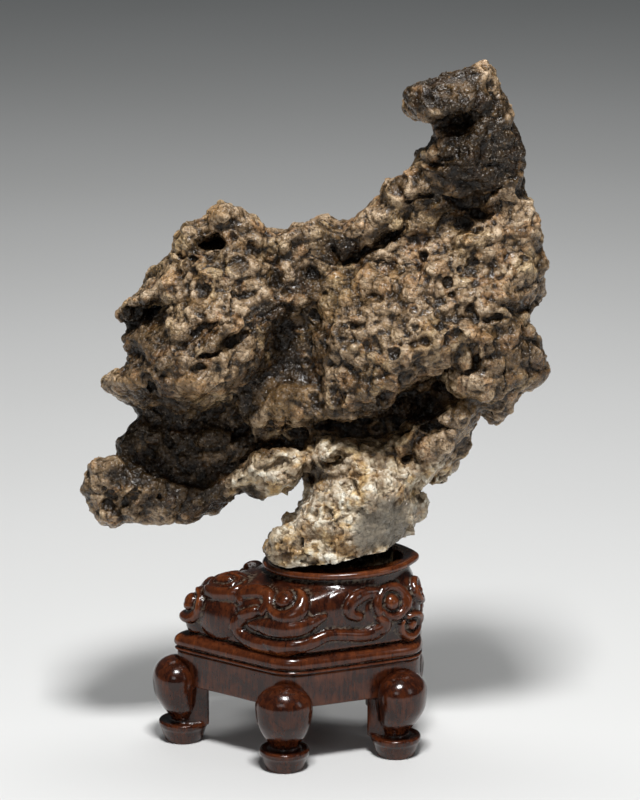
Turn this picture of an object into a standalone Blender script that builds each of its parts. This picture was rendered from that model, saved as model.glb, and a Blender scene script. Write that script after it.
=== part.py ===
"""A scholar's rock on its carved hardwood stand.

The rock is one stone, fused from overlapping lobes and standing on a narrow neck whose foot
drops into the stand's socket. The stand is a carved mound over a five-sided apron, on five
legs with bulbous knees. Metres, +Z up, the front faces -Y. Lengths below are in millimetres
and become metres where the meshes are made.
"""

import math

import bmesh
import bpy
import numpy as np
from mathutils import Matrix, Vector, noise

MM = 0.001

# ---------------------------------------------------------------- driving dimensions
STAND_SHIFT = (-11.6, 2.1, 2.5)     # where the stand's middle lies in the object's own frame
FLOOR_Z = -2.5                      # the pads' soles, below the stand's own zero height
APRON_Z = 41.0                      # underside of the apron
BEAD_Z = 70.0                       # bead between the apron and the mound
LIP_Z = 137.0                       # top of the rolled lip, at its right end
LIP_DROP = 4.5                      # how much lower the lip lies at its left end
SOCKET_Z = 118.0                    # floor of the socket
FIT_GAP = 0.4                       # air left between pieces that touch

# The five sides of the plan: the direction each one faces, and how far out it lies.
PLAN_SIDES = ((-125.8, 54.0), (-68.3, 55.5), (0.0, 87.0), (73.4, 54.0), (130.2, 55.0))
PLAN_ROUNDING = 12                  # higher is sharper at the corners
PLAN_STEPS = 56

LIP_CENTRE = (30.0, 0.0)
LIP_HALF = (54.0, 42.0)             # half-width and half-depth over the rolled lip
LIP_ROLL = 4.5                      # how far the lip stands out over its neck
SOCKET_CENTRE = (30.0, 4.0)
SOCKET_HALF = (46.0, 25.5)          # half-width and half-depth of the socket's mouth

KNEE_RADIUS = 20.5
KNEE_DEPTH = 17.0                   # half-thickness of the knee, outwards
KNEE_OUT = 5.0                      # how far the knee stands out over its pad
KNEE_Z = 45.0
ANKLE_RADIUS = 10.0
PAD_TOP_RADIUS = 18.0
PAD_FOOT_RADIUS = 13.2
PAD_TOP_Z = 13.0
POST_WIDTH = 19.0
POST_DEPTH = 18.5
LEG_TURN = 12                       # sides of a turned leg

# Where each leg's pad stands, and the direction its knee faces.
LEGS = {
    "leg_front": ((-8.5, -61.0), -94.0),
    "leg_left": ((-82.0, -2.0), 181.0),
    "leg_right": ((70.5, -33.5), -27.0),
    "leg_back_right": ((70.0, 30.0), 24.0),
    "leg_back_left": ((-13.0, 57.0), 100.0),
}

DEPTH_RISE = math.tan(math.radians(15.0))   # the stone's lobes rise by this as they come forward
STONE_VOXEL = 3.0
STONE_TRIANGLES = 5600
LOBE_RIM = 7.0                      # thickness of a lobe's thin edge
FOOT_CENTRE = (29.0, 6.0)
FOOT_HALF = (38.0, 20.5)
# Underside of the stone around its foot, as (x, z): it rises to the right.
BASE_LINE = ((-30, 136.0), (-5, 136.0), (15, 141.0), (45, 145.5), (75, 150.0))

# ---------------------------------------------------------------- the stone's outlines
# Upright outlines (x, z). Each lobe is one of them, swollen to the front and to the back.
WHOLE_STONE = (
    (74, 461), (76, 468), (83, 473), (87, 477), (100, 479.5), (112, 480.5), (116, 484),
    (126, 489.5), (131, 491), (136, 484.5), (138.5, 478), (138, 471), (143, 463),
    (147, 453), (151, 446), (155, 434), (157.5, 415), (156.5, 403), (162, 392), (169, 377),
    (173, 353), (174.5, 340), (174, 325), (167, 317), (161.5, 311), (164, 301), (172, 289),
    (174, 284), (172, 276), (164, 267), (160, 258), (148, 248), (145, 241), (141, 234),
    (136, 237), (132, 243), (119, 239), (126, 232), (125, 227), (113, 210), (112, 203),
    (99, 193), (86, 187), (80, 185), (92.5, 173), (86, 165), (78, 155), (73, 145),
    (60, 144), (42, 140), (18, 139), (5, 134), (-9, 131), (-20, 140), (-17, 149),
    (-12, 157), (-6, 158), (0, 171), (9, 180), (8, 194), (4, 197), (-2, 188.5),
    (-11, 187), (-24, 178), (-32, 176), (-41, 186), (-50, 179), (-60, 169), (-80, 167),
    (-100, 165.5), (-122, 160), (-134, 156.5), (-140, 160), (-143, 170), (-152, 183),
    (-144, 199), (-130, 205), (-127, 213), (-129, 220), (-119, 228), (-110, 238),
    (-112, 248), (-132, 253.5), (-140, 263), (-134, 271), (-120, 275), (-116, 282),
    (-125, 297), (-119, 305), (-130, 312), (-127, 316), (-116, 320), (-102, 332),
    (-96, 348), (-89, 355), (-88, 368), (-75, 377), (-63, 380), (-58, 390), (-48, 391),
    (-34, 383), (-18, 372), (0, 373), (14, 380), (30, 377), (46, 382), (58, 396),
    (70, 408), (81, 412), (86, 428), (97, 443), (90, 450), (78, 456),
)
LEFT_MASS = (
    (-129, 314), (-120, 319), (-111, 321), (-98, 335), (-90, 345), (-87, 365), (-84, 371),
    (-75, 378), (-61, 381), (-58, 389), (-49, 392), (-40, 388), (-30, 381), (-21, 373),
    (-7, 372), (7, 377), (21, 379), (26, 371), (26, 343), (18, 321), (0, 313), (-9, 302),
    (-11, 290), (-17, 275), (-30, 264), (-48, 256), (-64, 249), (-84, 248), (-104, 251),
    (-112, 251), (-123, 253), (-134, 257), (-138, 264), (-133, 270), (-120, 275), (-114, 283),
    (-120, 296), (-122, 301), (-112, 303), (-99, 310), (-86, 319), (-98, 318), (-112, 315),
)
LEFT_FACE = (
    (-84, 370, 6), (-51, 388, -4), (-29, 377, 4), (7, 373, 8), (24, 366, 8), (-88, 343, -4),
    (-62, 362, -8), (-37, 351, -12), (-4, 351, -2), (18, 343, 0), (-111, 319, -16),
    (-85, 321, -26), (-48, 324, -26), (-18, 324, -20), (7, 328, -8), (-74, 302, -37),
    (-37, 302, -34), (-15, 309, -22), (15, 321, -8), (-111, 290, -14), (-56, 286, -44),
    (-32, 284, -32), (-134, 263, -8), (-111, 267, -24), (-85, 260, -45), (-56, 260, -46),
    (-36, 267, -36), (-19, 281, -22), (-12, 296, -16), (-100, 296, -22),
)
RIGHT_MASS = (
    (15, 313), (18, 324), (26, 341), (37, 346), (48, 351), (62, 357), (77, 361), (87, 370),
    (99, 377), (113, 381), (132, 388), (146, 392), (160, 388), (165, 377), (171, 362),
    (174, 347), (173, 332), (168, 321), (155, 305), (137, 296), (129, 289), (122, 281),
    (113, 275), (100, 270), (85, 265), (74, 258), (63, 249), (52, 240), (41, 235), (26, 234),
    (13, 237), (9, 252), (8, 267), (9, 283), (10, 298),
)
RIGHT_FACE = (
    (26, 336, -8), (20, 305, -16), (14, 275, -18), (16, 246, -26), (41, 240, -42),
    (63, 260, -46), (92, 275, -46), (122, 290, -40), (151, 313, -24), (173, 336, -2),
    (48, 343, -8), (81, 358, -5), (99, 370, -2), (135, 384, 0), (161, 381, 5),
    (63, 313, -26), (99, 321, -27), (129, 336, -18), (42, 275, -34), (92, 294, -38),
    (26, 260, -27), (30, 290, -24),
)
CREST = (
    (4, 371), (21, 379), (27, 377), (37, 378), (48, 381), (59, 392), (62, 402), (77, 408),
    (86, 406), (99, 403), (121, 392), (136, 377), (99, 366), (77, 361), (62, 357), (48, 351),
    (37, 346), (28, 341), (18, 339), (7, 343),
)
CREST_FACE = (
    (7, 358, 6), (26, 358, 8), (48, 362, 6), (62, 373, 4), (77, 388, 2), (99, 388, 0),
    (69, 399, 6), (33, 373, 10),
)
VALLEY = (
    (-26, 318), (10, 330), (34, 336), (36, 300), (34, 262), (32, 236), (9, 229), (-14, 230),
    (-36, 236), (-44, 252), (-34, 280), (-28, 300),
)
VALLEY_FACE = (
    (-18, 308, 2), (4, 312, 0), (20, 318, -4), (-6, 292, 0), (10, 292, -4), (-10, 276, -2),
    (6, 270, -8), (-20, 262, -4), (0, 256, -16), (-20, 244, -10), (8, 240, -22),
    (26, 238, -18), (28, 270, -14), (30, 290, -16), (-34, 262, -6),
)
TOWER = (
    (59, 388), (69, 402), (84, 414), (86, 425), (95, 440), (98, 446), (113, 444), (131, 453),
    (145, 455), (153, 436), (158, 422), (159, 403), (165, 381), (171, 358), (158, 351),
    (136, 358), (114, 370), (99, 370), (81, 361), (62, 361),
)
TOWER_FACE = (
    (98, 440, -20), (127, 444, -22), (149, 444, -6), (88, 418, -12), (120, 418, -18),
    (153, 418, 0), (77, 396, -6), (99, 396, -4), (128, 396, -4), (157, 392, 4),
    (136, 373, 0), (99, 373, -2),
)
BEAK = (
    (70, 463), (76, 470), (87, 475), (94, 478), (113, 480), (118, 486), (130, 491), (135, 484),
    (139, 477), (140, 468), (145, 459), (149, 449), (135, 448), (122, 453), (113, 448),
    (98, 446), (91, 448), (80, 454), (74, 459),
)
BEAK_FACE = (
    (80, 464, -14), (98, 470, -20), (120, 477, -12), (131, 484, -4), (98, 453, -24),
    (124, 459, -22), (142, 459, -6),
)
LOWER_RIGHT = (
    (108, 282), (112, 308), (128, 322), (146, 318), (158, 308), (166, 297), (174, 284),
    (174, 271), (167, 263), (154, 249), (145, 236), (138, 238), (128, 245), (116, 252),
    (107, 259),
)
LOWER_FACE = (
    (118, 280, -36), (120, 308, -28), (146, 308, -24), (148, 290, -24), (168, 280, -10),
    (137, 260, -28), (156, 260, -14), (114, 260, -32), (130, 290, -33), (142, 242, -18),
)
WING = (
    (60, 219), (72, 225), (84, 233), (96, 240), (108, 247), (118, 252), (125, 250),
    (129, 243), (125, 233), (115, 223), (109, 209), (100, 202), (85, 202), (71, 209),
)
WING_FACE = (
    (78, 225, -16), (100, 238, -22), (119, 246, -22), (115, 229, -14), (93, 213, -18),
    (70, 215, -16),
)
NECK = (
    (-22, 133), (-21, 143), (-13, 151), (-4, 157), (2, 170), (9, 180), (9, 194), (6, 202),
    (7, 222), (11, 230), (26, 226), (44, 221), (62, 218), (93, 226), (115, 223), (110, 209),
    (97, 198), (93, 190), (82, 186), (88, 179), (92.5, 174), (86, 166), (79, 155), (74, 144),
    (71, 133), (64, 120), (-12, 120),
)
NECK_FACE = (
    (15, 219, -14), (41, 217, -13), (70, 214, -12), (100, 218, -14), (26, 198, -22),
    (56, 200, -22), (93, 198, -14), (32, 178, -32), (52, 176, -36), (71, 180, -24),
    (88, 174, -8), (-4, 147, -30), (18, 139, -36), (40, 150, -38), (56, 143, -30),
    (71, 147, -16), (-12, 124, -30), (63, 124, -24),
)
TONGUE = (
    (-152, 184), (-150.5, 189), (-145, 194), (-143.5, 200), (-135, 204), (-129, 206),
    (-112, 200), (-92, 192), (-72, 188), (-52, 192), (-38, 196), (-32, 190), (-38, 184),
    (-46, 179), (-54, 174), (-60, 170), (-72, 166), (-86, 167), (-96, 164), (-109, 164),
    (-120, 161), (-128, 158), (-135, 156.5), (-140, 160), (-143, 170), (-148, 176),
)
TONGUE_FACE = (
    (-148, 184, -8), (-137, 198, -16), (-120, 196, -16), (-139, 164, -16), (-131, 178, -10),
    (-112, 180, -22), (-98, 170, -14), (-92, 184, -10), (-76, 180, -10), (-56, 178, -10),
    (-49, 190, -4),
)
PALE_LOBE = (
    (-50, 184), (-47, 192), (-43, 197), (-36, 201), (-31, 206), (-22, 208), (-14, 213),
    (-4, 214), (3, 210), (6, 204), (8, 197), (3, 193), (0, 188), (-10, 187), (-18, 184),
    (-26, 180), (-33, 177), (-40, 184),
)
PALE_FACE = (
    (-44, 190, -14), (-30, 201, -20), (-12, 209, -16), (3, 203, -18), (-8, 194, -26),
    (-24, 192, -16), (-32, 182, -12),
)
WHOLE_FACE = (
    (-114, 244, 10), (-80, 240, 18), (-45, 238, 14), (-96, 216, 10), (-60, 212, 8), (0, 320, 2),
    (60, 330, 2), (120, 330, 2), (130, 430, 2), (60, 240, 16), (95, 255, 18), (150, 270, 2),
    (-130, 195, 0), (-80, 180, -2), (-80, 340, 4), (40, 180, 2), (120, 475, 0),
    (-122, 302, 14), (-100, 312, 18), (80, 244, 18), (-14, 226, 4),
)

# Lobe: outline, its face as (x, z, depth), depth of its rim, swell to the back, width over
# which the face rounds into the rim.
LOBES = (
    (WHOLE_STONE, WHOLE_FACE, 20.0, 16.0, 10.0),
    (LEFT_MASS, LEFT_FACE, 8.0, 30.0, 15.0),
    (RIGHT_MASS, RIGHT_FACE, 6.0, 34.0, 18.0),
    (CREST, CREST_FACE, 16.0, 18.0, 12.0),
    (VALLEY, VALLEY_FACE, 8.0, 10.0, 14.0),
    (TOWER, TOWER_FACE, 8.0, 24.0, 16.0),
    (BEAK, BEAK_FACE, 2.0, 14.0, 11.0),
    (LOWER_RIGHT, LOWER_FACE, 2.0, 22.0, 14.0),
    (WING, WING_FACE, 4.0, 14.0, 10.0),
    (NECK, NECK_FACE, 2.0, 24.0, 10.0),
    (TONGUE, TONGUE_FACE, 0.0, 20.0, 14.0),
    (PALE_LOBE, PALE_FACE, -4.0, 12.0, 8.0),
)
BACK_EDGE = 36.0                    # width over which the back rounds into the rim

# Hollow or lump on the front: centre x, z, half-width, half-height, depth (minus: a lump).
FRONT_HOLLOWS = (
    (-58, 362, 11, 6, 20), (-50, 384, 12, 10, -8), (-81, 309, 9, 5, 8), (-60, 303, 13, 5, 6),
    (-58, 284, 8, 4, 9), (-46, 289, 10, 6, 11), (-69, 271, 8, 4, 7), (-100, 259, 6, 9, 10),
    (-118, 262, 12, 8, -5), (-73, 260, 10, 8, -5), (-95, 282, 14, 8, -5), (63, 344, 12, 7, 6),
    (84, 352, 9, 8, 5), (42, 304, 7, 6, 6), (53, 322, 8, 5, 5), (110, 450, 13, 6, 18),
    (96, 416, 9, 4, 9), (86, 396, 12, 4, 9), (128, 385, 8, 7, 9), (124, 366, 14, 8, -6),
    (113, 310, 13, 8, 5), (137, 371, 7, 6, -5), (163, 360, 6, 5, -4), (14, 196, 8, 7, 12),
    (26, 206, 9, 6, 8), (18, 226, 7, 5, 7), (36, 185, 9, 6, 5), (80, 208, 10, 5, 7),
    (98, 230, 12, 4, 9), (85, 181, 7, 6, 8), (-130, 173, 10, 8, 7), (-116, 179, 8, 6, 4),
    (-12, 202, 11, 4, 8), (-30, 184, 14, 8, 5), (-8, 252, 12, 9, -5), (30, 285, 14, 8, -5),
    (100, 345, 14, 10, -5), (84, 300, 13, 9, -5), (-72, 338, 14, 10, -5), (-36, 346, 15, 9, -5),
    (118, 420, 12, 14, -5), (140, 436, 9, 9, -4), (60, 288, 16, 8, 4), (20, 350, 10, 8, -4),
    (-30, 365, 9, 6, -4), (110, 292, 10, 8, 5), (152, 317, 12, 5, 12), (135, 308, 7, 3, 8),
    (-84, 232, 22, 8, 5), (-60, 222, 16, 7, -5), (-104, 226, 12, 8, -5), (-40, 230, 12, 8, 4),
)
# Clefts on the front: route as (x, z, half-width), depth.
FRONT_CLEFTS = (
    (((21, 371, 2), (25, 358, 3), (31, 348, 3.5), (42, 354, 4), (55, 363, 3.5),
      (67, 369, 2.5), (81, 380, 1.5)), 12),
    (((-36, 300, 2), (-24, 309, 3), (-10, 316, 3.5), (6, 320, 2.5)), 4),
    (((102, 398, 2), (116, 391, 5), (130, 396, 5), (144, 404, 2)), 9),
    (((118, 296, 2), (124, 284, 4), (121, 270, 4)), 6),
    (((-47, 203, 2), (-30, 213, 4.5), (-12, 219, 3)), 10),
    (((78, 428, 2), (92, 420, 4), (106, 424, 2)), 8),
    (((-97, 366, 2), (-80, 352, 3), (-70, 348, 2)), 5),
    (((-66, 296, 3), (-50, 300, 3), (-36, 292, 2)), 5),
)
# Hollow or lump on the back, in the same terms.
BACK_HOLLOWS = (
    (-70, 340, 26, 18, 13), (-20, 330, 18, 24, -9), (-95, 275, 20, 12, 11),
    (-50, 285, 16, 12, -8), (60, 320, 30, 22, 15), (110, 350, 24, 18, -9),
    (130, 300, 18, 14, 12), (30, 270, 26, 14, 13), (70, 400, 16, 12, 9),
    (120, 430, 16, 14, 10), (125, 465, 10, 7, 7), (50, 205, 22, 14, 10),
    (90, 225, 14, 10, -7), (20, 170, 16, 12, 7), (-100, 185, 20, 9, 8),
    (-70, 215, 22, 10, 9), (-15, 230, 18, 14, 10), (150, 270, 12, 10, 7),
    (-30, 365, 14, 9, 9), (150, 370, 12, 16, 8),
)

# The mound's wall: share of the way from the plan to the neck of the lip, and height.
MOUND_WALL = (
    (0.09, 82.5), (0.09, 90.0), (0.10, 97.0), (0.14, 104.0), (0.22, 110.0), (0.36, 116.0),
    (0.54, 120.5), (0.74, 124.0), (0.93, 127.0),
)
# Scroll lobes carved on the mound: bearing, height, radius, how far each stands out.
MOUND_LOBES = (
    (183, 100, 14, 5.0), (197, 119, 17, 5.0), (217, 93, 13, 3.5), (230, 113, 11, 4.5),
    (262, 113, 17, 5.0), (252, 99, 14, 4.0), (275, 100, 14, 4.0), (240, 84, 12, 3.5),
    (266, 86, 14, 4.0), (294, 88, 12, 3.5), (320, 87, 12, 3.5), (332, 109, 15, 5.0),
    (314, 111, 10, 3.5), (343, 93, 11, 4.5), (352, 111, 11, 4.5), (15, 96, 13, 4.5),
    (32, 108, 15, 5.0), (50, 88, 15, 4.0), (66, 108, 14, 4.5), (84, 92, 15, 4.0),
    (98, 112, 15, 5.0), (115, 92, 15, 4.0), (132, 108, 14, 4.5), (150, 94, 14, 4.0),
    (160, 118, 16, 5.0),
)


# ---------------------------------------------------------------- helpers
def new_material(name, colour, roughness):
    material = bpy.data.materials.new(name)
    material.use_nodes = True
    shader = material.node_tree.nodes["Principled BSDF"]
    shader.inputs["Base Color"].default_value = (*colour, 1.0)
    shader.inputs["Roughness"].default_value = roughness
    shader.inputs["Metallic"].default_value = 0.0
    return material


def new_object(name, mesh, collection, material=None):
    obj = bpy.data.objects.new(name, mesh)
    collection.objects.link(obj)
    if material:
        mesh.materials.append(material)
    return obj


def baked(obj):
    """A new mesh of the object as its modifiers leave it."""
    bpy.context.view_layer.update()
    graph = bpy.context.evaluated_depsgraph_get()
    return bpy.data.meshes.new_from_object(obj.evaluated_get(graph))


def points_of(mesh):
    points = np.empty(len(mesh.vertices) * 3)
    mesh.vertices.foreach_get("co", points)
    return points.reshape(-1, 3)


def set_points(mesh, points):
    mesh.vertices.foreach_set("co", np.ascontiguousarray(points, np.float32).ravel())
    mesh.update()


def vertex_normals(mesh):
    normals = np.empty(len(mesh.vertices) * 3)
    mesh.vertex_normals.foreach_get("vector", normals)
    return normals.reshape(-1, 3)


def voxel_remesh(obj, size):
    modifier = obj.modifiers.new("Fuse", "REMESH")
    modifier.mode = "VOXEL"
    modifier.voxel_size = size
    obj.data = baked(obj)
    obj.modifiers.clear()


def joined(objects):
    with bpy.context.temp_override(
        active_object=objects[0], object=objects[0], selected_editable_objects=objects,
        selected_objects=objects,
    ):
        bpy.ops.object.join()
    return objects[0]


def polyline_distance(points, route, closed):
    """Distance of each (x, z) point from a route."""
    route = np.array(route, float)
    ends = np.roll(route, -1, axis=0) if closed else route[1:]
    starts = route if closed else route[:-1]
    nearest = np.full(len(points), np.inf)
    for start, end in zip(starts, ends):
        along = end - start
        share = np.clip((points - start) @ along / (along @ along), 0.0, 1.0)
        gap = np.linalg.norm(points - start - share[:, None] * along, axis=1)
        nearest = np.minimum(nearest, gap)
    return nearest


def tube_height(points, route, height):
    """Height of a rounded band over a route whose last column is its half-width."""
    best = np.zeros(len(points))
    starts, ends = route[:-1], route[1:]
    for start, end in zip(starts, ends):
        along = end[:-1] - start[:-1]
        share = np.clip((points - start[:-1]) @ along / (along @ along + 1e-9), 0.0, 1.0)
        gap = np.linalg.norm(points - start[:-1] - share[:, None] * along, axis=1)
        half = start[-1] + share * (end[-1] - start[-1])
        level = height * np.sqrt(np.clip(1.0 - (gap / half) ** 2, 0.0, 1.0))
        best = np.maximum(best, level * np.clip(half / route[:, -1].max() + 0.35, 0.0, 1.0))
    return best

# ---------------------------------------------------------------- the stone
def draped(points, knots):
    """Depth at each (x, z) point of a face bent smoothly through its knots."""
    knots = np.array(knots, float)
    places = knots[:, :2] / 100.0

    def bending(spots):
        gap = np.linalg.norm(spots[:, None] - places[None], axis=2) + 1e-9
        return np.column_stack([gap * gap * np.log(gap), np.ones(len(spots)), spots])

    system = np.zeros((len(knots) + 3, len(knots) + 3))
    system[:len(knots)] = bending(places)
    system[len(knots):, :len(knots)] = system[:len(knots), len(knots):].T
    weights = np.linalg.solve(system, np.append(knots[:, 2], (0.0, 0.0, 0.0)))
    return bending(points / 100.0) @ weights


def lobe_mesh(outline, face, middle, back, edge):
    """A plate of the outline, drawn forward to its face and swollen to the back."""
    curve = bpy.data.curves.new("Lobe", "CURVE")
    curve.dimensions = "2D"
    curve.fill_mode = "BOTH"
    curve.extrude = LOBE_RIM / 2
    spline = curve.splines.new("POLY")
    spline.points.add(len(outline) - 1)
    for point, (x, z) in zip(spline.points, outline):
        point.co = (x, z, 0.0, 1.0)
    spline.use_cyclic_u = True
    plate = new_object("Lobe", curve, bpy.context.scene.collection)
    solid = new_object("Lobe solid", baked(plate), bpy.context.scene.collection)
    solid.data.transform(Matrix.Rotation(math.radians(90), 4, "X"))
    bpy.data.objects.remove(plate)
    voxel_remesh(solid, STONE_VOXEL)
    points = points_of(solid.data)
    flat = points[:, [0, 2]]
    inside = polyline_distance(flat, outline, closed=True)
    rounding = np.where(points[:, 1] < 0, edge, BACK_EDGE)
    swell = np.sqrt(1.0 - (1.0 - np.clip(inside / rounding, 0.0, 1.0)) ** 2)
    reach = np.where(points[:, 1] < 0, middle - draped(flat, face), back)
    side = np.clip(points[:, 1] / (LOBE_RIM / 2), -1.0, 1.0)
    points[:, 1] += middle + reach * side * swell
    points[:, 2] -= points[:, 1] * DEPTH_RISE
    set_points(solid.data, points)
    return solid


def foot_mesh():
    """The tapered foot under the neck, long enough to be cut flat in the socket."""
    bpy.ops.mesh.primitive_cone_add(vertices=32, radius1=0.92, radius2=1.0, depth=50.0)
    foot = bpy.context.active_object
    foot.data.transform(Matrix.Diagonal((*FOOT_HALF, 1.0, 1.0)))
    foot.data.transform(Matrix.Translation((*FOOT_CENTRE, SOCKET_Z + 20.0)))
    return foot


def dented(points, normals, hollows, facing):
    """Depth gained by each point from the hollows on the side that faces front or back."""
    depth = np.zeros(len(points))
    aimed = np.clip(-facing * normals[:, 1] * 2.0 + 0.6, 0.0, 1.0)
    for x, z, half_width, half_height, sink in hollows:
        reach = np.hypot((points[:, 0] - x) / half_width, (points[:, 2] - z) / half_height)
        depth += sink * np.clip(1.0 - reach ** 2, 0.0, 1.0) ** 0.8 * aimed
    return depth * facing


def cleft(points, normals, clefts):
    depth = np.zeros(len(points))
    aimed = np.clip(normals[:, 1] * -2.0 + 0.8, 0.0, 1.0)
    for route, sink in clefts:
        depth += tube_height(points[:, [0, 2]], np.array(route, float), sink) * aimed
    return depth


def roughened(points, normals):
    """Broad lumps and ledges over the whole stone, along its normals."""
    swell = np.empty(len(points))
    for i, (x, y, z) in enumerate(points):
        broad = noise.fractal(Vector((x, y * 1.3, z * 1.6)) / 42.0, 1.0, 2.0, 3)
        cells = noise.voronoi(Vector((x, y, z)) / 17.0)[0]
        swell[i] = 1.4 + 4.0 * broad + 3.2 * (0.5 - cells[0])
    swell *= np.clip((points[:, 2] - LIP_Z) / 10.0, 0.0, 1.0)
    return points + normals * swell[:, None]


def kept_in_socket(points):
    """Only the foot goes down into the socket: all else stays above the base line."""
    reach = np.linalg.norm((points[:, :2] - FOOT_CENTRE) / FOOT_HALF, axis=1)
    base = np.interp(points[:, 0], *np.transpose(BASE_LINE))
    beside = (points[:, 2] < base) & (reach > 1.05)
    points[beside, 2] = base[beside]
    return points


def upright_of(points):
    """Points in the plane of the outlines: x, depth, and the height read from the front."""
    return points + np.outer(points[:, 1], (0.0, 0.0, DEPTH_RISE))


def hollowed(mesh, front, back, clefts):
    points = points_of(mesh)
    normals = vertex_normals(mesh)
    upright = upright_of(points)
    depth = dented(upright, normals, front, 1.0) + dented(upright, normals, back, -1.0)
    depth += cleft(upright, normals, clefts)
    depth *= np.clip((points[:, 2] - LIP_Z - 2.0) / 8.0, 0.0, 1.0)
    points[:, 1] += depth
    points[:, 2] -= depth * DEPTH_RISE
    set_points(mesh, points)


def make_stone(collection, material):
    solids = [lobe_mesh(*lobe) for lobe in LOBES]
    stone = joined([*solids, foot_mesh()])
    stone.name = "stone"
    voxel_remesh(stone, STONE_VOXEL)
    set_points(stone.data, roughened(points_of(stone.data), vertex_normals(stone.data)))
    hollowed(stone.data, FRONT_HOLLOWS, BACK_HOLLOWS, FRONT_CLEFTS)
    set_points(stone.data, kept_in_socket(points_of(stone.data)))

    thin = stone.modifiers.new("Facets", "DECIMATE")
    thin.ratio = STONE_TRIANGLES / (2 * len(stone.data.polygons))
    stone.data = baked(stone)
    stone.modifiers.clear()
    set_points(stone.data, kept_in_socket(points_of(stone.data)))

    body = bmesh.new()
    body.from_mesh(stone.data)
    cut = bmesh.ops.bisect_plane(
        body, geom=body.verts[:] + body.edges[:] + body.faces[:],
        plane_co=(0.0, 0.0, SOCKET_Z + FIT_GAP), plane_no=(0.0, 0.0, -1.0), clear_outer=True,
    )
    rim = [item for item in cut["geom_cut"] if isinstance(item, bmesh.types.BMEdge)]
    bmesh.ops.contextual_create(body, geom=rim)
    bmesh.ops.triangulate(body, faces=body.faces[:])
    bmesh.ops.recalc_face_normals(body, faces=body.faces[:])
    body.to_mesh(stone.data)
    body.free()
    stone.data.transform(Matrix.Translation(STAND_SHIFT))
    stone.data.transform(Matrix.Scale(MM, 4))
    stone.data.materials.clear()
    stone.data.materials.append(material)
    for owner in list(stone.users_collection):
        owner.objects.unlink(stone)
    collection.objects.link(stone)
    return stone


# ---------------------------------------------------------------- the stand
def plan_radius(bearings, grow=0.0):
    """The rounded five-sided plan, as a radius for each bearing."""
    total = np.zeros(len(bearings))
    for facing, reach in PLAN_SIDES:
        share = np.clip(np.cos(bearings - math.radians(facing)), 0.0, 1.0) / (reach + grow)
        total += share ** PLAN_ROUNDING
    return total ** (-1.0 / PLAN_ROUNDING)


def plan_ring(bearings, grow=0.0):
    radius = plan_radius(bearings, grow)
    return np.stack([radius * np.cos(bearings), radius * np.sin(bearings)], axis=1)


def oval_ring(bearings, half, centre=LIP_CENTRE):
    ring = np.stack([half[0] * np.cos(bearings), half[1] * np.sin(bearings)], axis=1)
    return ring + centre


def lip_tilt(points):
    """Lowers the top of the stand towards its left end."""
    left = np.clip((LIP_CENTRE[0] + LIP_HALF[0] - points[:, 0]) / (2 * LIP_HALF[0]), 0.0, 1.0)
    points[:, 2] -= LIP_DROP * left * np.clip((points[:, 2] - SOCKET_Z) / 15.0, 0.0, 1.0)
    return points


def mound_point(bearing, height):
    """The point of the plain mound at a bearing and a height."""
    shares, heights = zip(*MOUND_WALL)
    share = np.interp(height, heights, shares)
    angle = np.array([math.radians(bearing)])
    neck = oval_ring(angle, (LIP_HALF[0] - LIP_ROLL, LIP_HALF[1] - LIP_ROLL))
    return np.append(plan_ring(angle)[0] * (1.0 - share) + neck[0] * share, height)


def carve_mound(mesh):
    """Raises the scroll lobes out of the mound, along its normals."""
    points = points_of(mesh)
    rise = np.zeros(len(points))
    for bearing, level, size, height in MOUND_LOBES:
        reach = np.linalg.norm(points - mound_point(bearing, level), axis=1) / size
        rise = np.maximum(rise, height * np.clip(1.0 - reach ** 2, 0.0, 1.0) ** 0.6)
    rise *= np.clip((points[:, 2] - MOUND_WALL[0][1]) / 2.0, 0.0, 1.0)
    set_points(mesh, points + vertex_normals(mesh) * rise[:, None])


def loft(rings):
    """One closed skin through rings of equally many points, with a flat face at each end."""
    body = bmesh.new()
    rows = [[body.verts.new(point) for point in ring] for ring in rings]
    for lower, upper in zip(rows, rows[1:]):
        for i, corner in enumerate(lower):
            j = (i + 1) % len(lower)
            body.faces.new((corner, lower[j], upper[j], upper[i]))
    body.faces.new(rows[0][::-1])
    body.faces.new(rows[-1])
    bmesh.ops.recalc_face_normals(body, faces=body.faces[:])
    mesh = bpy.data.meshes.new("Loft")
    body.to_mesh(mesh)
    body.free()
    return mesh


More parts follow.
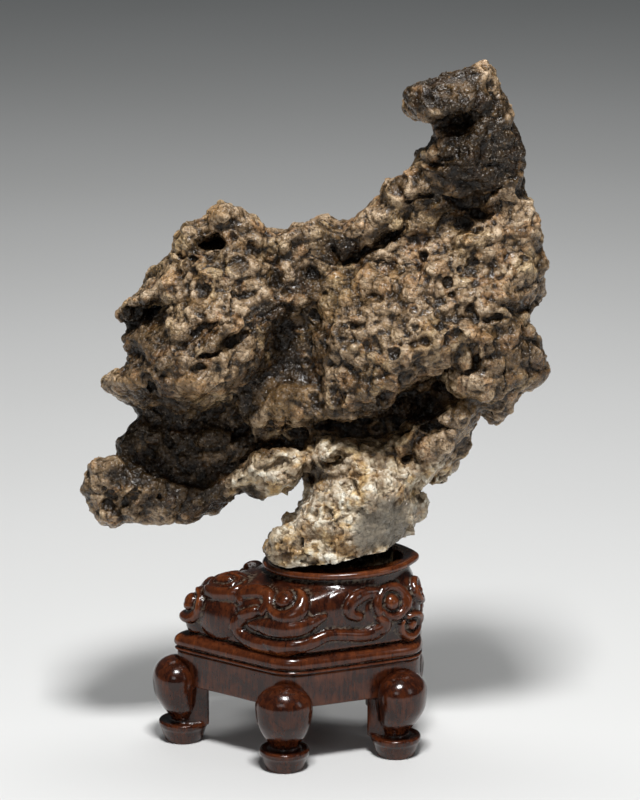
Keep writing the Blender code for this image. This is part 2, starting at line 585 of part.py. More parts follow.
def make_stand(collection, material):
    bearings = np.linspace(0.0, 2 * math.pi, PLAN_STEPS, endpoint=False)
    lip = oval_ring(bearings, LIP_HALF)
    neck_half = (LIP_HALF[0] - LIP_ROLL, LIP_HALF[1] - LIP_ROLL)
    neck = oval_ring(bearings, neck_half)
    plan = plan_ring(bearings)
    levels = [
        (plan_ring(bearings, 0.0), APRON_Z), (plan_ring(bearings, 1.5), APRON_Z + 2.5),
        (plan_ring(bearings, 1.5), BEAD_Z - 4.0), (plan_ring(bearings, 2.6), BEAD_Z - 2.8),
        (plan_ring(bearings, 2.6), BEAD_Z - 1.2), (plan_ring(bearings, 1.0), BEAD_Z),
        (plan_ring(bearings, 2.2), BEAD_Z + 2.5), (plan_ring(bearings, 2.0), BEAD_Z + 5.5),
        (plan_ring(bearings, -1.0), BEAD_Z + 8.5), (plan_ring(bearings, -5.0), BEAD_Z + 9.5),
    ]
    for share, height in MOUND_WALL:
        levels.append((plan * (1.0 - share) + neck * share, height))
    levels += [
        (neck, LIP_Z - 6.0), (lip, LIP_Z - 3.6), (oval_ring(bearings, (54.6, 42.6)), LIP_Z - 1.8),
        (oval_ring(bearings, (52.5, 40.0)), LIP_Z), (oval_ring(bearings, (50.0, 34.0)), LIP_Z - 1.0),
        (oval_ring(bearings, SOCKET_HALF, SOCKET_CENTRE), LIP_Z - 2.5),
        (oval_ring(bearings, (42.5, 23.0), SOCKET_CENTRE), SOCKET_Z),
    ]
    rings = [np.column_stack([ring, np.full(len(ring), height)]) for ring, height in levels]
    rings = [lip_tilt(ring) for ring in rings]
    stand = new_object("stand", loft(rings), collection, material)
    carve_mound(stand.data)
    body = bmesh.new()
    body.from_mesh(stand.data)
    bmesh.ops.triangulate(body, faces=[f for f in body.faces if len(f.verts) > 4])
    body.to_mesh(stand.data)
    body.free()
    stand.data.transform(Matrix.Translation(STAND_SHIFT))
    stand.data.transform(Matrix.Scale(MM, 4))
    return stand


# ---------------------------------------------------------------- the legs
def turned(profile):
    """A solid of revolution from (radius, height) points listed from the top down."""
    mesh = bpy.data.meshes.new("Turned")
    body = bmesh.new()
    corners = [body.verts.new((radius, 0.0, height)) for radius, height in profile]
    for upper, lower in zip(corners, corners[1:]):
        body.edges.new((upper, lower))
    body.to_mesh(mesh)
    body.free()
    obj = bpy.data.objects.new("Turned", mesh)
    bpy.context.scene.collection.objects.link(obj)
    screw = obj.modifiers.new("Turn", "SCREW")
    screw.steps = screw.render_steps = LEG_TURN
    screw.use_merge_vertices = True
    screw.merge_threshold = 0.0001
    obj.data = baked(obj)
    obj.modifiers.clear()
    return obj


def make_knee():
    """The knee: round in front, full at the top, and drawn down into the ankle."""
    profile = [(0.0, KNEE_Z + 15.5)]
    for turn in (66, 42, 20, 0, -22, -42, -60):
        angle = math.radians(turn)
        height = KNEE_Z + (15.5 if turn > 0 else 33.0) * math.sin(angle)
        profile.append((KNEE_RADIUS * math.cos(angle), height))
    profile += [(ANKLE_RADIUS, PAD_TOP_Z - 2.0), (0.0, PAD_TOP_Z - 2.0)]
    knee = turned(profile)
    points = points_of(knee.data)
    points[:, 0] *= KNEE_DEPTH / KNEE_RADIUS
    points[:, 0] += KNEE_OUT * np.clip((points[:, 2] - PAD_TOP_Z) / 20.0, 0.0, 1.0)
    set_points(knee.data, points)
    return knee


def make_pad():
    return turned([
        (0.0, PAD_TOP_Z), (PAD_TOP_RADIUS - 1.2, PAD_TOP_Z), (PAD_TOP_RADIUS, PAD_TOP_Z - 1.4),
        (PAD_TOP_RADIUS - 1.0, PAD_TOP_Z - 5.0), (PAD_FOOT_RADIUS, FLOOR_Z), (0.0, FLOOR_Z),
    ])


def make_post():
    """The flat post behind the knee, up to the underside of the apron."""
    bpy.ops.mesh.primitive_cube_add(size=1.0)
    post = bpy.context.active_object
    top = APRON_Z - FIT_GAP
    height = top - PAD_TOP_Z + 2.0
    post.data.transform(Matrix.Diagonal((POST_DEPTH, POST_WIDTH, height, 1.0)))
    post.data.transform(Matrix.Translation((-POST_DEPTH / 2, 0.0, top - height / 2)))
    return post


def boolean(target, other, operation):
    modifier = target.modifiers.new(operation.title(), "BOOLEAN")
    modifier.operation = operation
    modifier.solver = "EXACT"
    modifier.object = other
    target.data = baked(target)
    target.modifiers.clear()


def make_legs(collection, cutters, material):
    bearings = np.linspace(0.0, 2 * math.pi, 40, endpoint=False)
    clear = [
        np.column_stack([plan_ring(bearings, FIT_GAP + 2.6), np.full(40, height)])
        for height in (APRON_Z - FIT_GAP, BEAD_Z + 10.0)
    ]
    apron = new_object("apron_clearance", loft(clear), cutters)
    for name, (foot, facing) in LEGS.items():
        leg = make_knee()
        for other in (make_post(), make_pad()):
            boolean(leg, other, "UNION")
            bpy.data.objects.remove(other)
        leg.data.transform(Matrix.Rotation(math.radians(facing), 4, "Z"))
        leg.data.transform(Matrix.Translation((*foot, 0.0)))
        boolean(leg, apron, "DIFFERENCE")
        mesh = leg.data
        bpy.data.objects.remove(leg)
        mesh.transform(Matrix.Translation(STAND_SHIFT))
        mesh.transform(Matrix.Scale(MM, 4))
        new_object(name, mesh, collection, material)
    apron.data.transform(Matrix.Scale(MM, 4))
    apron.hide_render = True
    apron.display_type = "WIRE"


def main():
    for obj in list(bpy.data.objects):
        bpy.data.objects.remove(obj)
    parts = bpy.data.collections.new("Scholar's rock")
    cutters = bpy.data.collections.new("Cutters")
    for collection in (parts, cutters):
        bpy.context.scene.collection.children.link(collection)
    stone = new_material("Stone", (0.085, 0.066, 0.048), 0.45)
    wood = new_material("Dark hardwood", (0.055, 0.014, 0.008), 0.22)
    make_stone(parts, stone)
    make_stand(parts, wood)
    make_legs(parts, cutters, wood)


main()
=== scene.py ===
"""The look of the scholar's rock on its carved stand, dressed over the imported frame.

The rock and the wood are built finer than the solids, from the same sizes and nearly the same
outlines: only the rock's left edge, its pits and its clefts are drawn more closely here. Lengths
are in millimetres in the stand's own frame, and become metres where the meshes are finished.
"""

import itertools
import math

import bmesh
import bpy
import numpy as np
from mathutils import Matrix, Vector, noise


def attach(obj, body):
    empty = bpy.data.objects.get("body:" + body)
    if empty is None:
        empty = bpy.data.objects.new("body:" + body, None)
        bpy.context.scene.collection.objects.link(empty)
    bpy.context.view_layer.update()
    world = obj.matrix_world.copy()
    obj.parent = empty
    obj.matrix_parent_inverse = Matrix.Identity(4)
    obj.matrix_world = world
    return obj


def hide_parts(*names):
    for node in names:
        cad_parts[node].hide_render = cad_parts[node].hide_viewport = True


MM = 0.001

# ---------------------------------------------------------------- driving dimensions
STAND_SHIFT = (-11.6, 2.1, 2.5)     # where the stand's middle lies in the object's own frame
FLOOR_Z = -2.5                      # the pads' soles, below the stand's own zero height
APRON_Z = 41.0                      # underside of the apron
BEAD_Z = 70.0                       # bead between the apron and the mound
LIP_Z = 137.0                       # top of the rolled lip, at its right end
LIP_DROP = 4.5                      # how much lower the lip lies at its left end
SOCKET_Z = 118.0                    # floor of the socket
FIT_GAP = 0.4                       # air left between pieces that touch

# The five sides of the plan: the direction each one faces, and how far out it lies.
PLAN_SIDES = ((-125.8, 54.0), (-68.3, 55.5), (0.0, 87.0), (73.4, 54.0), (130.2, 55.0))
PLAN_ROUNDING = 12                  # higher is sharper at the corners
PLAN_STEPS = 480

LIP_CENTRE = (30.0, 0.0)
LIP_HALF = (54.0, 42.0)             # half-width and half-depth over the rolled lip
LIP_ROLL = 4.5                      # how far the lip stands out over its neck
SOCKET_CENTRE = (30.0, 4.0)
SOCKET_HALF = (46.0, 25.5)          # half-width and half-depth of the socket's mouth
SOCKET_FLOOR_HALF = (40.0, 20.0)
# The socket's wall from the mouth down: how much narrower it is than the mouth, and height.
SOCKET_WALL = ((0.0, LIP_Z - 2.6), (0.7, LIP_Z - 4.0), (2.0, 128.0), (3.2, SOCKET_Z + 0.6))
SOCKET_MARGIN = 1.02                # the scrolls stay outside the mouth, grown by this factor
LIP_FLARE = 2.6                     # how much further out the lip reaches at its right end
LIP_FLARE_TURN = 0.22               # half-width of that flare, in radians
LIP_FLARE_FADE = 6.0                # the flare dies out over this much of the lip, inwards

KNEE_RADIUS = 20.5
KNEE_DEPTH = 17.0                   # half-thickness of the knee, outwards
KNEE_OUT = 5.0                      # how far the knee stands out over its pad
KNEE_Z = 45.0
ANKLE_RADIUS = 10.0
PAD_TOP_RADIUS = 18.0
PAD_FOOT_RADIUS = 13.2
PAD_TOP_Z = 13.0
POST_WIDTH = 19.0
POST_DEPTH = 18.5
LEG_TURN = 72                       # sides of a turned leg
KNEE_RISE = 15.5                    # how far the knee curves up from its middle, and down
KNEE_FALL = 33.0
KNEE_TURNS = range(84, -58, -6)     # degrees down the knee's outline
KNEE_CLEARANCE = 2.6                # how far out of the plan the legs are cut back
CLEARANCE_STEPS = 160
LEG_VOXEL = 0.65
LEG_EASING = 3                      # rounds of averaging over a leg
SOLE_BAND = 1.5                     # lowest part of a leg, which keeps its flat sole

# Where each leg's pad stands, and the direction its knee faces.
LEGS = {
    "leg_front": ((-8.5, -61.0), -94.0),
    "leg_left": ((-82.0, -2.0), 181.0),
    "leg_right": ((70.5, -33.5), -27.0),
    "leg_back_right": ((70.0, 30.0), 24.0),
    "leg_back_left": ((-13.0, 57.0), 100.0),
}

DEPTH_RISE = math.tan(math.radians(15.0))   # the stone's lobes rise by this as they come forward
LOBE_VOXEL = 2.4
STONE_VOXEL = 1.7
SKIN_VOXEL = 1.2
STONE_TRIANGLES = 188000
LOBE_RIM = 7.0                      # thickness of a lobe's thin edge
STONE_EASING = 6                    # rounds of averaging over the joined lobes
FOOT_CENTRE = (29.0, 6.0)
FOOT_HALF = (38.0, 20.5)
FOOT_TAPER = 0.92                   # how wide the foot is at its lower end, as a share
FOOT_HEIGHT = 50.0
FOOT_MIDDLE_Z = SOCKET_Z + 20.0
FOOT_SIDES = 64
FOOT_MARGIN = 1.05                  # outside the foot, grown by this, is over the base line
# Underside of the stone around its foot, as (x, z): it rises to the right.
BASE_LINE = ((-30, 136.0), (-5, 136.0), (15, 141.0), (45, 145.5), (75, 150.0))

# ---------------------------------------------------------------- the stone's outlines
# Upright outlines (x, z). Each lobe is one of them, swollen to the front and to the back.
WHOLE_STONE = (
    (74, 461), (76, 468), (83, 473), (87, 477), (100, 479.5), (112, 480.5), (116, 484),
    (126, 489.5), (131, 491), (136, 484.5), (138.5, 478), (138, 471), (143, 463),
    (147, 453), (151, 446), (155, 434), (157.5, 415), (156.5, 403), (162, 392), (169, 377),
    (173, 353), (174.5, 340), (174, 325), (167, 317), (161.5, 311), (164, 301), (172, 289),
    (174, 284), (172, 276), (164, 267), (160, 258), (148, 248), (145, 241), (141, 234),
    (136, 237), (132, 243), (119, 239), (126, 232), (125, 227), (113, 210), (112, 203),
    (99, 193), (86, 187), (80, 185), (92.5, 173), (86, 165), (78, 155), (73, 145),
    (60, 144), (42, 140), (18, 139), (5, 134), (-9, 131), (-20, 140), (-17, 149),
    (-12, 157), (-6, 158), (0, 171), (9, 180), (8, 194), (4, 197), (-2, 188.5),
    (-11, 187), (-24, 178), (-32, 176), (-41, 186), (-50, 179), (-60, 169), (-80, 167),
    (-100, 165.5), (-122, 160), (-134, 156.5), (-140, 160), (-143, 170), (-152, 183),
    (-144, 199), (-130, 205), (-127, 213), (-129, 220), (-119, 228), (-110, 238),
    (-112, 248), (-132, 253.5), (-140, 263), (-134, 271), (-120, 275), (-116, 282),
    (-125, 297), (-119, 305), (-130, 312), (-127, 316), (-116, 320), (-102, 332),
    (-96, 348), (-89, 355), (-88, 368), (-75, 377), (-63, 380), (-58, 390), (-48, 391),
    (-34, 383), (-18, 372), (0, 373), (14, 380), (30, 377), (46, 382), (58, 396),
    (70, 408), (81, 412), (86, 428), (97, 443), (90, 450), (78, 456),
)
LEFT_MASS = (
    (-129, 314), (-120, 320), (-111, 323), (-98, 335), (-90, 345), (-87, 365), (-84, 371),
    (-75, 378), (-61, 381), (-58, 389), (-49, 392), (-40, 388), (-30, 381), (-21, 373),
    (-7, 372), (7, 377), (21, 379), (26, 371), (26, 343), (18, 321), (0, 313), (-9, 302),
    (-11, 290), (-17, 275), (-30, 264), (-48, 256), (-64, 249), (-84, 248), (-104, 251),
    (-112, 251), (-123, 253), (-134, 257), (-138, 264), (-133, 270), (-120, 275), (-114, 283),
    (-120, 296), (-122, 300), (-113, 300), (-102, 304), (-92, 311), (-84, 319), (-97, 321),
    (-112, 318),
)
LEFT_FACE = (
    (-84, 370, 6), (-51, 388, -4), (-29, 377, 4), (7, 373, 8), (24, 366, 8), (-88, 343, -4),
    (-62, 362, -8), (-37, 351, -12), (-4, 351, -2), (18, 343, 0), (-111, 319, -16),
    (-85, 321, -26), (-48, 324, -26), (-18, 324, -20), (7, 328, -8), (-74, 302, -37),
    (-37, 302, -34), (-15, 309, -22), (15, 321, -8), (-111, 290, -14), (-56, 286, -44),
    (-32, 284, -32), (-134, 263, -8), (-111, 267, -24), (-85, 260, -45), (-56, 260, -46),
    (-36, 267, -36), (-19, 281, -22), (-12, 296, -16), (-100, 296, -22),
)
RIGHT_MASS = (
    (15, 313), (18, 324), (26, 341), (37, 346), (48, 351), (62, 357), (77, 361), (87, 370),
    (99, 377), (113, 381), (132, 388), (146, 392), (160, 388), (165, 377), (171, 362),
    (174, 347), (173, 332), (168, 321), (155, 305), (137, 296), (129, 289), (122, 281),
    (113, 275), (100, 270), (85, 265), (74, 258), (63, 249), (52, 240), (41, 235), (26, 234),
    (13, 237), (9, 252), (8, 267), (9, 283), (10, 298),
)
RIGHT_FACE = (
    (26, 336, -8), (20, 305, -16), (14, 275, -18), (16, 246, -26), (41, 240, -42),
    (63, 260, -46), (92, 275, -46), (122, 290, -40), (151, 313, -24), (173, 336, -2),
    (48, 343, -8), (81, 358, -5), (99, 370, -2), (135, 384, 0), (161, 381, 5),
    (63, 313, -26), (99, 321, -27), (129, 336, -18), (42, 275, -34), (92, 294, -38),
    (26, 260, -27), (30, 290, -24),
)
CREST = (
    (4, 371), (21, 379), (27, 377), (37, 378), (48, 381), (59, 392), (62, 402), (77, 408),
    (86, 406), (99, 403), (121, 392), (136, 377), (99, 366), (77, 361), (62, 357), (48, 351),
    (37, 346), (28, 341), (18, 339), (7, 343),
)
CREST_FACE = (
    (7, 358, 6), (26, 358, 8), (48, 362, 6), (62, 373, 4), (77, 388, 2), (99, 388, 0),
    (69, 399, 6), (33, 373, 10),
)
VALLEY = (
    (-26, 318), (10, 330), (34, 336), (36, 300), (34, 262), (32, 236), (9, 229), (-14, 230),
    (-36, 236), (-44, 252), (-34, 280), (-28, 300),
)
VALLEY_FACE = (
    (-18, 308, 2), (4, 312, 0), (20, 318, -4), (-6, 292, 0), (10, 292, -4), (-10, 276, -2),
    (6, 270, -8), (-20, 262, -4), (0, 256, -16), (-20, 244, -10), (8, 240, -22),
    (26, 238, -18), (28, 270, -14), (30, 290, -16), (-34, 262, -6),
)
TOWER = (
    (59, 388), (69, 402), (84, 414), (86, 425), (95, 440), (98, 446), (113, 444), (131, 453),
    (145, 455), (153, 436), (158, 422), (159, 403), (165, 381), (171, 358), (158, 351),
    (136, 358), (114, 370), (99, 370), (81, 361), (62, 361),
)
TOWER_FACE = (
    (98, 440, -20), (127, 444, -22), (149, 444, -6), (88, 418, -12), (120, 418, -18),
    (153, 418, 0), (77, 396, -6), (99, 396, -4), (128, 396, -4), (157, 392, 4),
    (136, 373, 0), (99, 373, -2),
)
BEAK = (
    (70, 463), (76, 470), (87, 475), (94, 478), (113, 480), (118, 486), (130, 491), (135, 484),
    (139, 477), (140, 468), (145, 459), (149, 449), (135, 448), (122, 453), (113, 448),
    (98, 446), (91, 448), (80, 454), (74, 459),
)
BEAK_FACE = (
    (80, 464, -14), (98, 470, -20), (120, 477, -12), (131, 484, -4), (98, 453, -24),
    (124, 459, -22), (142, 459, -6),
)
LOWER_RIGHT = (
    (108, 282), (112, 308), (128, 322), (146, 318), (158, 308), (166, 297), (174, 284),
    (174, 271), (167, 263), (154, 249), (145, 236), (138, 238), (128, 245), (116, 252),
    (107, 259),
)
LOWER_FACE = (
    (118, 280, -36), (120, 308, -28), (146, 308, -24), (148, 290, -24), (168, 280, -10),
    (137, 260, -28), (156, 260, -14), (114, 260, -32), (130, 290, -33), (142, 242, -18),
)
WING = (
    (60, 219), (72, 225), (84, 233), (96, 240), (108, 247), (118, 252), (125, 250),
    (129, 243), (125, 233), (115, 223), (109, 209), (100, 202), (85, 202), (71, 209),
)
WING_FACE = (
    (78, 225, -16), (100, 238, -22), (119, 246, -22), (115, 229, -14), (93, 213, -18),
    (70, 215, -16),
)
NECK = (
    (-22, 133), (-21, 143), (-13, 151), (-4, 157), (2, 170), (9, 180), (9, 194), (6, 202),
    (7, 222), (11, 230), (26, 226), (44, 221), (62, 218), (93, 226), (115, 223), (110, 209),
    (97, 198), (93, 190), (82, 186), (88, 179), (92.5, 174), (86, 166), (79, 155), (74, 144),
    (71, 133), (64, 120), (-12, 120),
)
NECK_FACE = (
    (15, 219, -14), (41, 217, -13), (70, 214, -12), (100, 218, -14), (26, 198, -22),
    (56, 200, -22), (93, 198, -14), (32, 178, -32), (52, 176, -36), (71, 180, -24),
    (88, 174, -8), (-4, 147, -30), (18, 139, -36), (40, 150, -38), (56, 143, -30),
    (71, 147, -16), (-12, 124, -30), (63, 124, -24),
)
TONGUE = (
    (-152, 184), (-150.5, 189), (-145, 194), (-143.5, 200), (-135, 204), (-129, 206),
    (-112, 200), (-92, 192), (-72, 188), (-52, 192), (-38, 196), (-32, 190), (-38, 184),
    (-46, 179), (-54, 174), (-60, 170), (-72, 166), (-86, 167), (-96, 164), (-109, 164),
    (-120, 161), (-128, 158), (-135, 156.5), (-140, 160), (-143, 170), (-148, 176),
)
TONGUE_FACE = (
    (-148, 184, -8), (-137, 198, -16), (-120, 196, -16), (-139, 164, -16), (-131, 178, -10),
    (-112, 180, -22), (-98, 170, -14), (-92, 184, -10), (-76, 180, -10), (-56, 178, -10),
    (-49, 190, -4),
)
PALE_LOBE = (
    (-50, 184), (-47, 192), (-43, 197), (-36, 201), (-31, 206), (-22, 208), (-14, 213),
    (-4, 214), (3, 210), (6, 204), (8, 197), (3, 193), (0, 188), (-10, 187), (-18, 184),
    (-26, 180), (-33, 177), (-40, 184),
)
PALE_FACE = (
    (-44, 190, -14), (-30, 201, -20), (-12, 209, -16), (3, 203, -18), (-8, 194, -26),
    (-24, 192, -16), (-32, 182, -12),
)
WHOLE_FACE = (
    (-114, 244, 10), (-80, 240, 18), (-45, 238, 14), (-96, 216, 10), (-60, 212, 8), (0, 320, 2),
    (60, 330, 2), (120, 330, 2), (130, 430, 2), (60, 240, 16), (95, 255, 18), (150, 270, 2),
    (-130, 195, 0), (-80, 180, -2), (-80, 340, 4), (40, 180, 2), (120, 475, 0),
    (-122, 302, 14), (-100, 312, 18), (80, 244, 18), (-14, 226, 4),
)

# Lobe: outline, its face as (x, z, depth), depth of its rim, swell to the back, width over
# which the face rounds into the rim.
LOBES = (
    (WHOLE_STONE, WHOLE_FACE, 20.0, 16.0, 10.0),
    (LEFT_MASS, LEFT_FACE, 8.0, 30.0, 15.0),
    (RIGHT_MASS, RIGHT_FACE, 6.0, 34.0, 18.0),
    (CREST, CREST_FACE, 16.0, 18.0, 12.0),
    (VALLEY, VALLEY_FACE, 8.0, 10.0, 14.0),
    (TOWER, TOWER_FACE, 8.0, 24.0, 16.0),
    (BEAK, BEAK_FACE, 2.0, 14.0, 11.0),
    (LOWER_RIGHT, LOWER_FACE, 2.0, 22.0, 14.0),
    (WING, WING_FACE, 4.0, 14.0, 10.0),
    (NECK, NECK_FACE, 2.0, 24.0, 10.0),
    (TONGUE, TONGUE_FACE, 0.0, 20.0, 14.0),
    (PALE_LOBE, PALE_FACE, -4.0, 12.0, 8.0),
)
BACK_EDGE = 36.0                    # width over which the back rounds into the rim
# The crust is drawn out along a slope up to the right: this packs it across that slope.
FLOW = ((0.62, 0.0, -0.42), (0.0, 1.0, 0.0), (-0.36, 0.0, 1.05))

# Hollow or lump on the front: centre x, z, half-width, half-height, depth (minus: a lump).
FRONT_HOLLOWS = (
    (-58, 362, 11, 6, 20), (-50, 384, 12, 10, -8), (-81, 309, 9, 5, 6),
    (-69, 271, 8, 4, 5), (-100, 259, 6, 9, 10),
    (-118, 262, 12, 8, -5), (-73, 260, 10, 8, -5), (-95, 282, 14, 8, -5), (63, 344, 12, 7, 6),
    (84, 352, 9, 8, 5), (41, 303, 10, 4, 6), (53, 322, 8, 5, 5), (110, 450, 13, 6, 18),
    (96, 416, 9, 4, 9), (86, 396, 12, 4, 9), (128, 385, 8, 7, 9), (124, 366, 14, 8, -6),
    (113, 310, 13, 8, 5), (137, 371, 7, 6, -5), (163, 360, 6, 5, -4), (14, 196, 8, 7, 12),
    (26, 206, 9, 6, 8), (18, 226, 7, 5, 7), (36, 185, 9, 6, 5), (80, 208, 10, 5, 7),
    (98, 230, 12, 4, 9), (85, 181, 7, 6, 8), (-130, 173, 10, 8, 7), (-116, 179, 8, 6, 4),
    (-12, 202, 11, 4, 8), (-30, 184, 14, 8, 5), (-8, 252, 12, 9, -5), (30, 285, 14, 8, -5),
    (100, 345, 14, 10, -5), (84, 300, 13, 9, -5), (-72, 338, 14, 10, -5), (-36, 346, 15, 9, -5),
    (118, 420, 12, 14, -5), (140, 436, 9, 9, -4), (60, 288, 16, 8, 4), (20, 350, 10, 8, -4),
    (-30, 365, 9, 6, -4), (110, 292, 10, 8, 5), (152, 317, 12, 5, 12), (135, 308, 7, 3, 8),
    (-84, 232, 22, 8, 5), (-60, 222, 16, 7, -5), (-104, 226, 12, 8, -5), (-40, 230, 12, 8, 4),
)
# Clefts on the front: route as (x, z, half-width), depth.
FRONT_CLEFTS = (
    (((25, 360, 1.5), (31, 348, 3), (41, 352, 5), (50, 359, 4), (60, 364, 5.5),
      (70, 371, 3), (80, 379, 1.5)), 13),
    (((-36, 300, 2), (-24, 309, 3), (-10, 316, 3.5), (6, 320, 2.5)), 4),
    (((102, 398, 2), (116, 391, 5), (130, 396, 5), (144, 404, 2)), 9),
    (((118, 296, 2), (124, 284, 4), (121, 270, 4)), 6),
    (((-47, 203, 2), (-30, 213, 4.5), (-12, 219, 3)), 10),
    (((78, 428, 2), (92, 420, 4), (106, 424, 2)), 8),
    (((-97, 366, 2), (-80, 352, 3), (-70, 348, 2)), 5),
    (((-77, 290, 2), (-64, 298, 4), (-52, 303, 3)), 7),
    (((-62, 282, 3), (-50, 289, 5), (-35, 297, 3)), 9),
)
# Hollow or lump on the back, in the same terms.
BACK_HOLLOWS = (
    (-70, 340, 26, 18, 13), (-20, 330, 18, 24, -9), (-95, 275, 20, 12, 11),
    (-50, 285, 16, 12, -8), (60, 320, 30, 22, 15), (110, 350, 24, 18, -9),
    (130, 300, 18, 14, 12), (30, 270, 26, 14, 13), (70, 400, 16, 12, 9),
    (120, 430, 16, 14, 10), (125, 465, 10, 7, 7), (50, 205, 22, 14, 10),
    (90, 225, 14, 10, -7), (20, 170, 16, 12, 7), (-100, 185, 20, 9, 8),
    (-70, 215, 22, 10, 9), (-15, 230, 18, 14, 10), (150, 270, 12, 10, 7),
    (-30, 365, 14, 9, 9), (150, 370, 12, 16, 8),
)

# The mound's wall: share of the way from the plan to the neck of the lip, and height.
MOUND_WALL = (
    (0.09, 82.5), (0.09, 90.0), (0.10, 97.0), (0.14, 104.0), (0.22, 110.0), (0.36, 116.0),
    (0.54, 120.5), (0.74, 124.0), (0.93, 127.0),
)
MOUND_FOOT_Z = BEAD_Z + 11.0        # lowest ring of the mound's wall
MOUND_RINGS = 66
WALL_SMOOTHING = 7                  # how many rings are averaged into each

# ---------------------------------------------------------------- the stone's finer forms
# Finer hollow or lump on the front, in the same terms as the broad ones.
FINE_HOLLOWS = (
    (-57, 361.5, 10, 4.5, 14), (-37.5, 361.5, 4, 4, -2), (-68.5, 338.5, 5, 5, -2),
    (68.3, 339.7, 4, 4, -3), (108.5, 326, 3, 3, 4), (160, 305, 4, 3, 8),
    (87, 284, 6, 5, -4), (137, 294, 7, 6, -3), (-130, 172, 7, 5, 2), (-118, 178, 7, 4, 5),
    (-134, 165, 3, 1.8, 6), (-97, 180, 3, 3, 5), (-102, 177, 2.5, 2.5, 4),
    (-16.5, 210, 3, 3, 7), (26, 206, 6, 4, 6), (12, 195, 6, 4, 8), (121, 250, 8, 6, -3),
    (134, 255, 6, 6, -4), (134, 296, 6, 5, -3), (152, 268, 8, 6, -3), (126, 284, 6, 5, -3),
)

# Dark patina and painted shade on the front: darker patches laid where shadow falls, under
# overhangs, in the big hollows and on the tower under the beak. Centre x, z, half-width,
# half-height, share.
PATINA_AND_SHADE = (
    (126, 424, 38, 34, 0.95), (112, 450, 26, 8, 0.9), (-85, 228, 54, 26, 0.85),
    (-106, 312, 20, 9, 1.0), (-103, 258, 14, 10, 0.6), (-64, 298, 14, 6, 0.5),
    (106, 468, 40, 17, 0.95), (8, 333, 18, 7, 0.7), (-14, 316, 12, 9, 0.9),
    (150, 285, 26, 26, 0.35), (6, 290, 16, 24, 0.5), (-10, 292, 12, 20, 0.95),
    (-8, 268, 15, 18, 1.0), (-102, 286, 26, 20, 0.45), (-80, 270, 22, 9, 0.35),
    (-26, 268, 11, 16, 0.9), (-38, 244, 15, 13, 0.8), (-48, 290, 14, 7, 0.6), (30, 356, 16, 9, 0.9),
    (46, 357, 12, 6, 0.9), (62, 368, 14, 6, 0.9), (76, 243, 34, 12, 0.9),
    (28, 231, 24, 7, 0.7), (62, 262, 38, 14, 0.4), (152, 318, 16, 7, 0.7), (116, 392, 30, 10, 0.7),
    (40, 353, 16, 8, 0.5), (-60, 362, 13, 7, 0.6), (-72, 176, 36, 13, 0.8),
    (-86, 198, 50, 12, 0.8), (-33, 178, 15, 9, 1.0), (14, 194, 10, 9, 0.7),
    (-118, 290, 10, 12, 0.5), (160, 410, 8, 14, 0.4), (-14, 140, 12, 12, 0.4),
    (-88, 292, 14, 7, 0.4), (-24, 216, 22, 7, 0.6),
)
# Tan and ochre patches, in the same terms; the broad one low in the valley, at (-8, 250), is
# painted light, lighter where that lump is lit.
TANS = (
    (-72, 319, 18, 4, 0.6), (-57, 385, 7, 6, 0.8), (-37.5, 361.5, 4, 4, 1.0),
    (-68.5, 338.5, 5, 5, 1.0), (68.3, 339.7, 4.5, 4.5, 0.9), (120, 248, 15, 8, 0.6),
    (30, 340, 6, 3, 0.8), (22, 313, 7, 4, 0.7), (2, 307, 6, 4, 0.8), (34, 323.5, 6, 3, 0.7),
    (-8, 250, 16, 14, 0.45), (44, 330, 30, 12, 0.25), (87, 284, 7, 6, 0.5),
    (134, 296, 7, 5, 0.5), (-73, 260, 10, 8, 0.45), (-118, 262, 12, 6, 0.4),
    (110, 470, 14, 6, 0.35), (-84, 372, 8, 5, 0.4), (150, 282, 9, 7, 0.4),
)
# Smooth grey face low on the right of the neck, in the same terms.
GREY_FACE = ((60, 158, 24, 17, 1.0), (82, 172, 9, 8, 0.8))
# Top of the pale, granular stone of the neck, as (x, z), and the height over which it fades.
NECK_TOP = ((-56, 140), (-44, 204), (0, 218), (20, 226), (60, 216), (75, 206), (130, 202))
NECK_FADE = 14.0

# Layers of soft noise: height, size of the features, salt.
NECK_RAGGED = ((10.0, 26.0, 3.0), (5.0, 9.0, 8.0))
PATCH_RAGGED = ((0.45, 12.0, 91.0), (0.3, 5.0, 92.0))
EDGE_PUSHES = ((2.6, 15.0, 0.0), (1.6, 7.0, 5.0))

# Roughness of the whole stone, before its skin: sizes and heights.
STONE_GROWTH = 1.4
BROAD_SIZE, BROAD_RISE = 42.0, 4.0
BLOCK_SIZE, BLOCK_RISE = 17.0, 3.2
WANDER_SIZE, WANDER_REACH = 11.0, 3.2       # how the outlines of the hollows wander
LIP_FADE = 8.0                      # height over which hollows and crust set in, by the lip

# The crust, layer by layer: size of its features and how far they stand out.
BEND_SIZE, BEND_REACH = 13.0, 2.2
LUMP_SIZE, LUMP_RISE = 27.0, 5.5
LARGE_BUBBLE, LARGE_CUPS, LARGE_RISE = 12.5, 0.07, 3.6      # size, share of cups, height
SMALL_BUBBLE, SMALL_CUPS, SMALL_RISE = 7.0, 0.04, 1.9
GRIT_SIZE, GRIT_RISE = 2.6, 0.35
CHIP_SIZE, CHIP_RISE = 13.0, 3.6
FINE_CHIP_SIZE, FINE_CHIP_RISE = 5.5, 1.5
SIDE_CHIP_SIZE, SIDE_CHIP_RISE = 7.0, 2.7
RIPPLE_SIZE, RIPPLE_RISE = 7.0, 0.8
CRACK_SIZE, CRACK_WIDTH, CRACK_DEPTH = 19.0, 0.07, 2.2

# What counts as standing out: rounds of averaging for the ground, and height of one unit.
FINE_RELIEF = (3, 0.25)
BROAD_RELIEF = (60, 2.4)
WOOD_RELIEF = (8, 0.5)

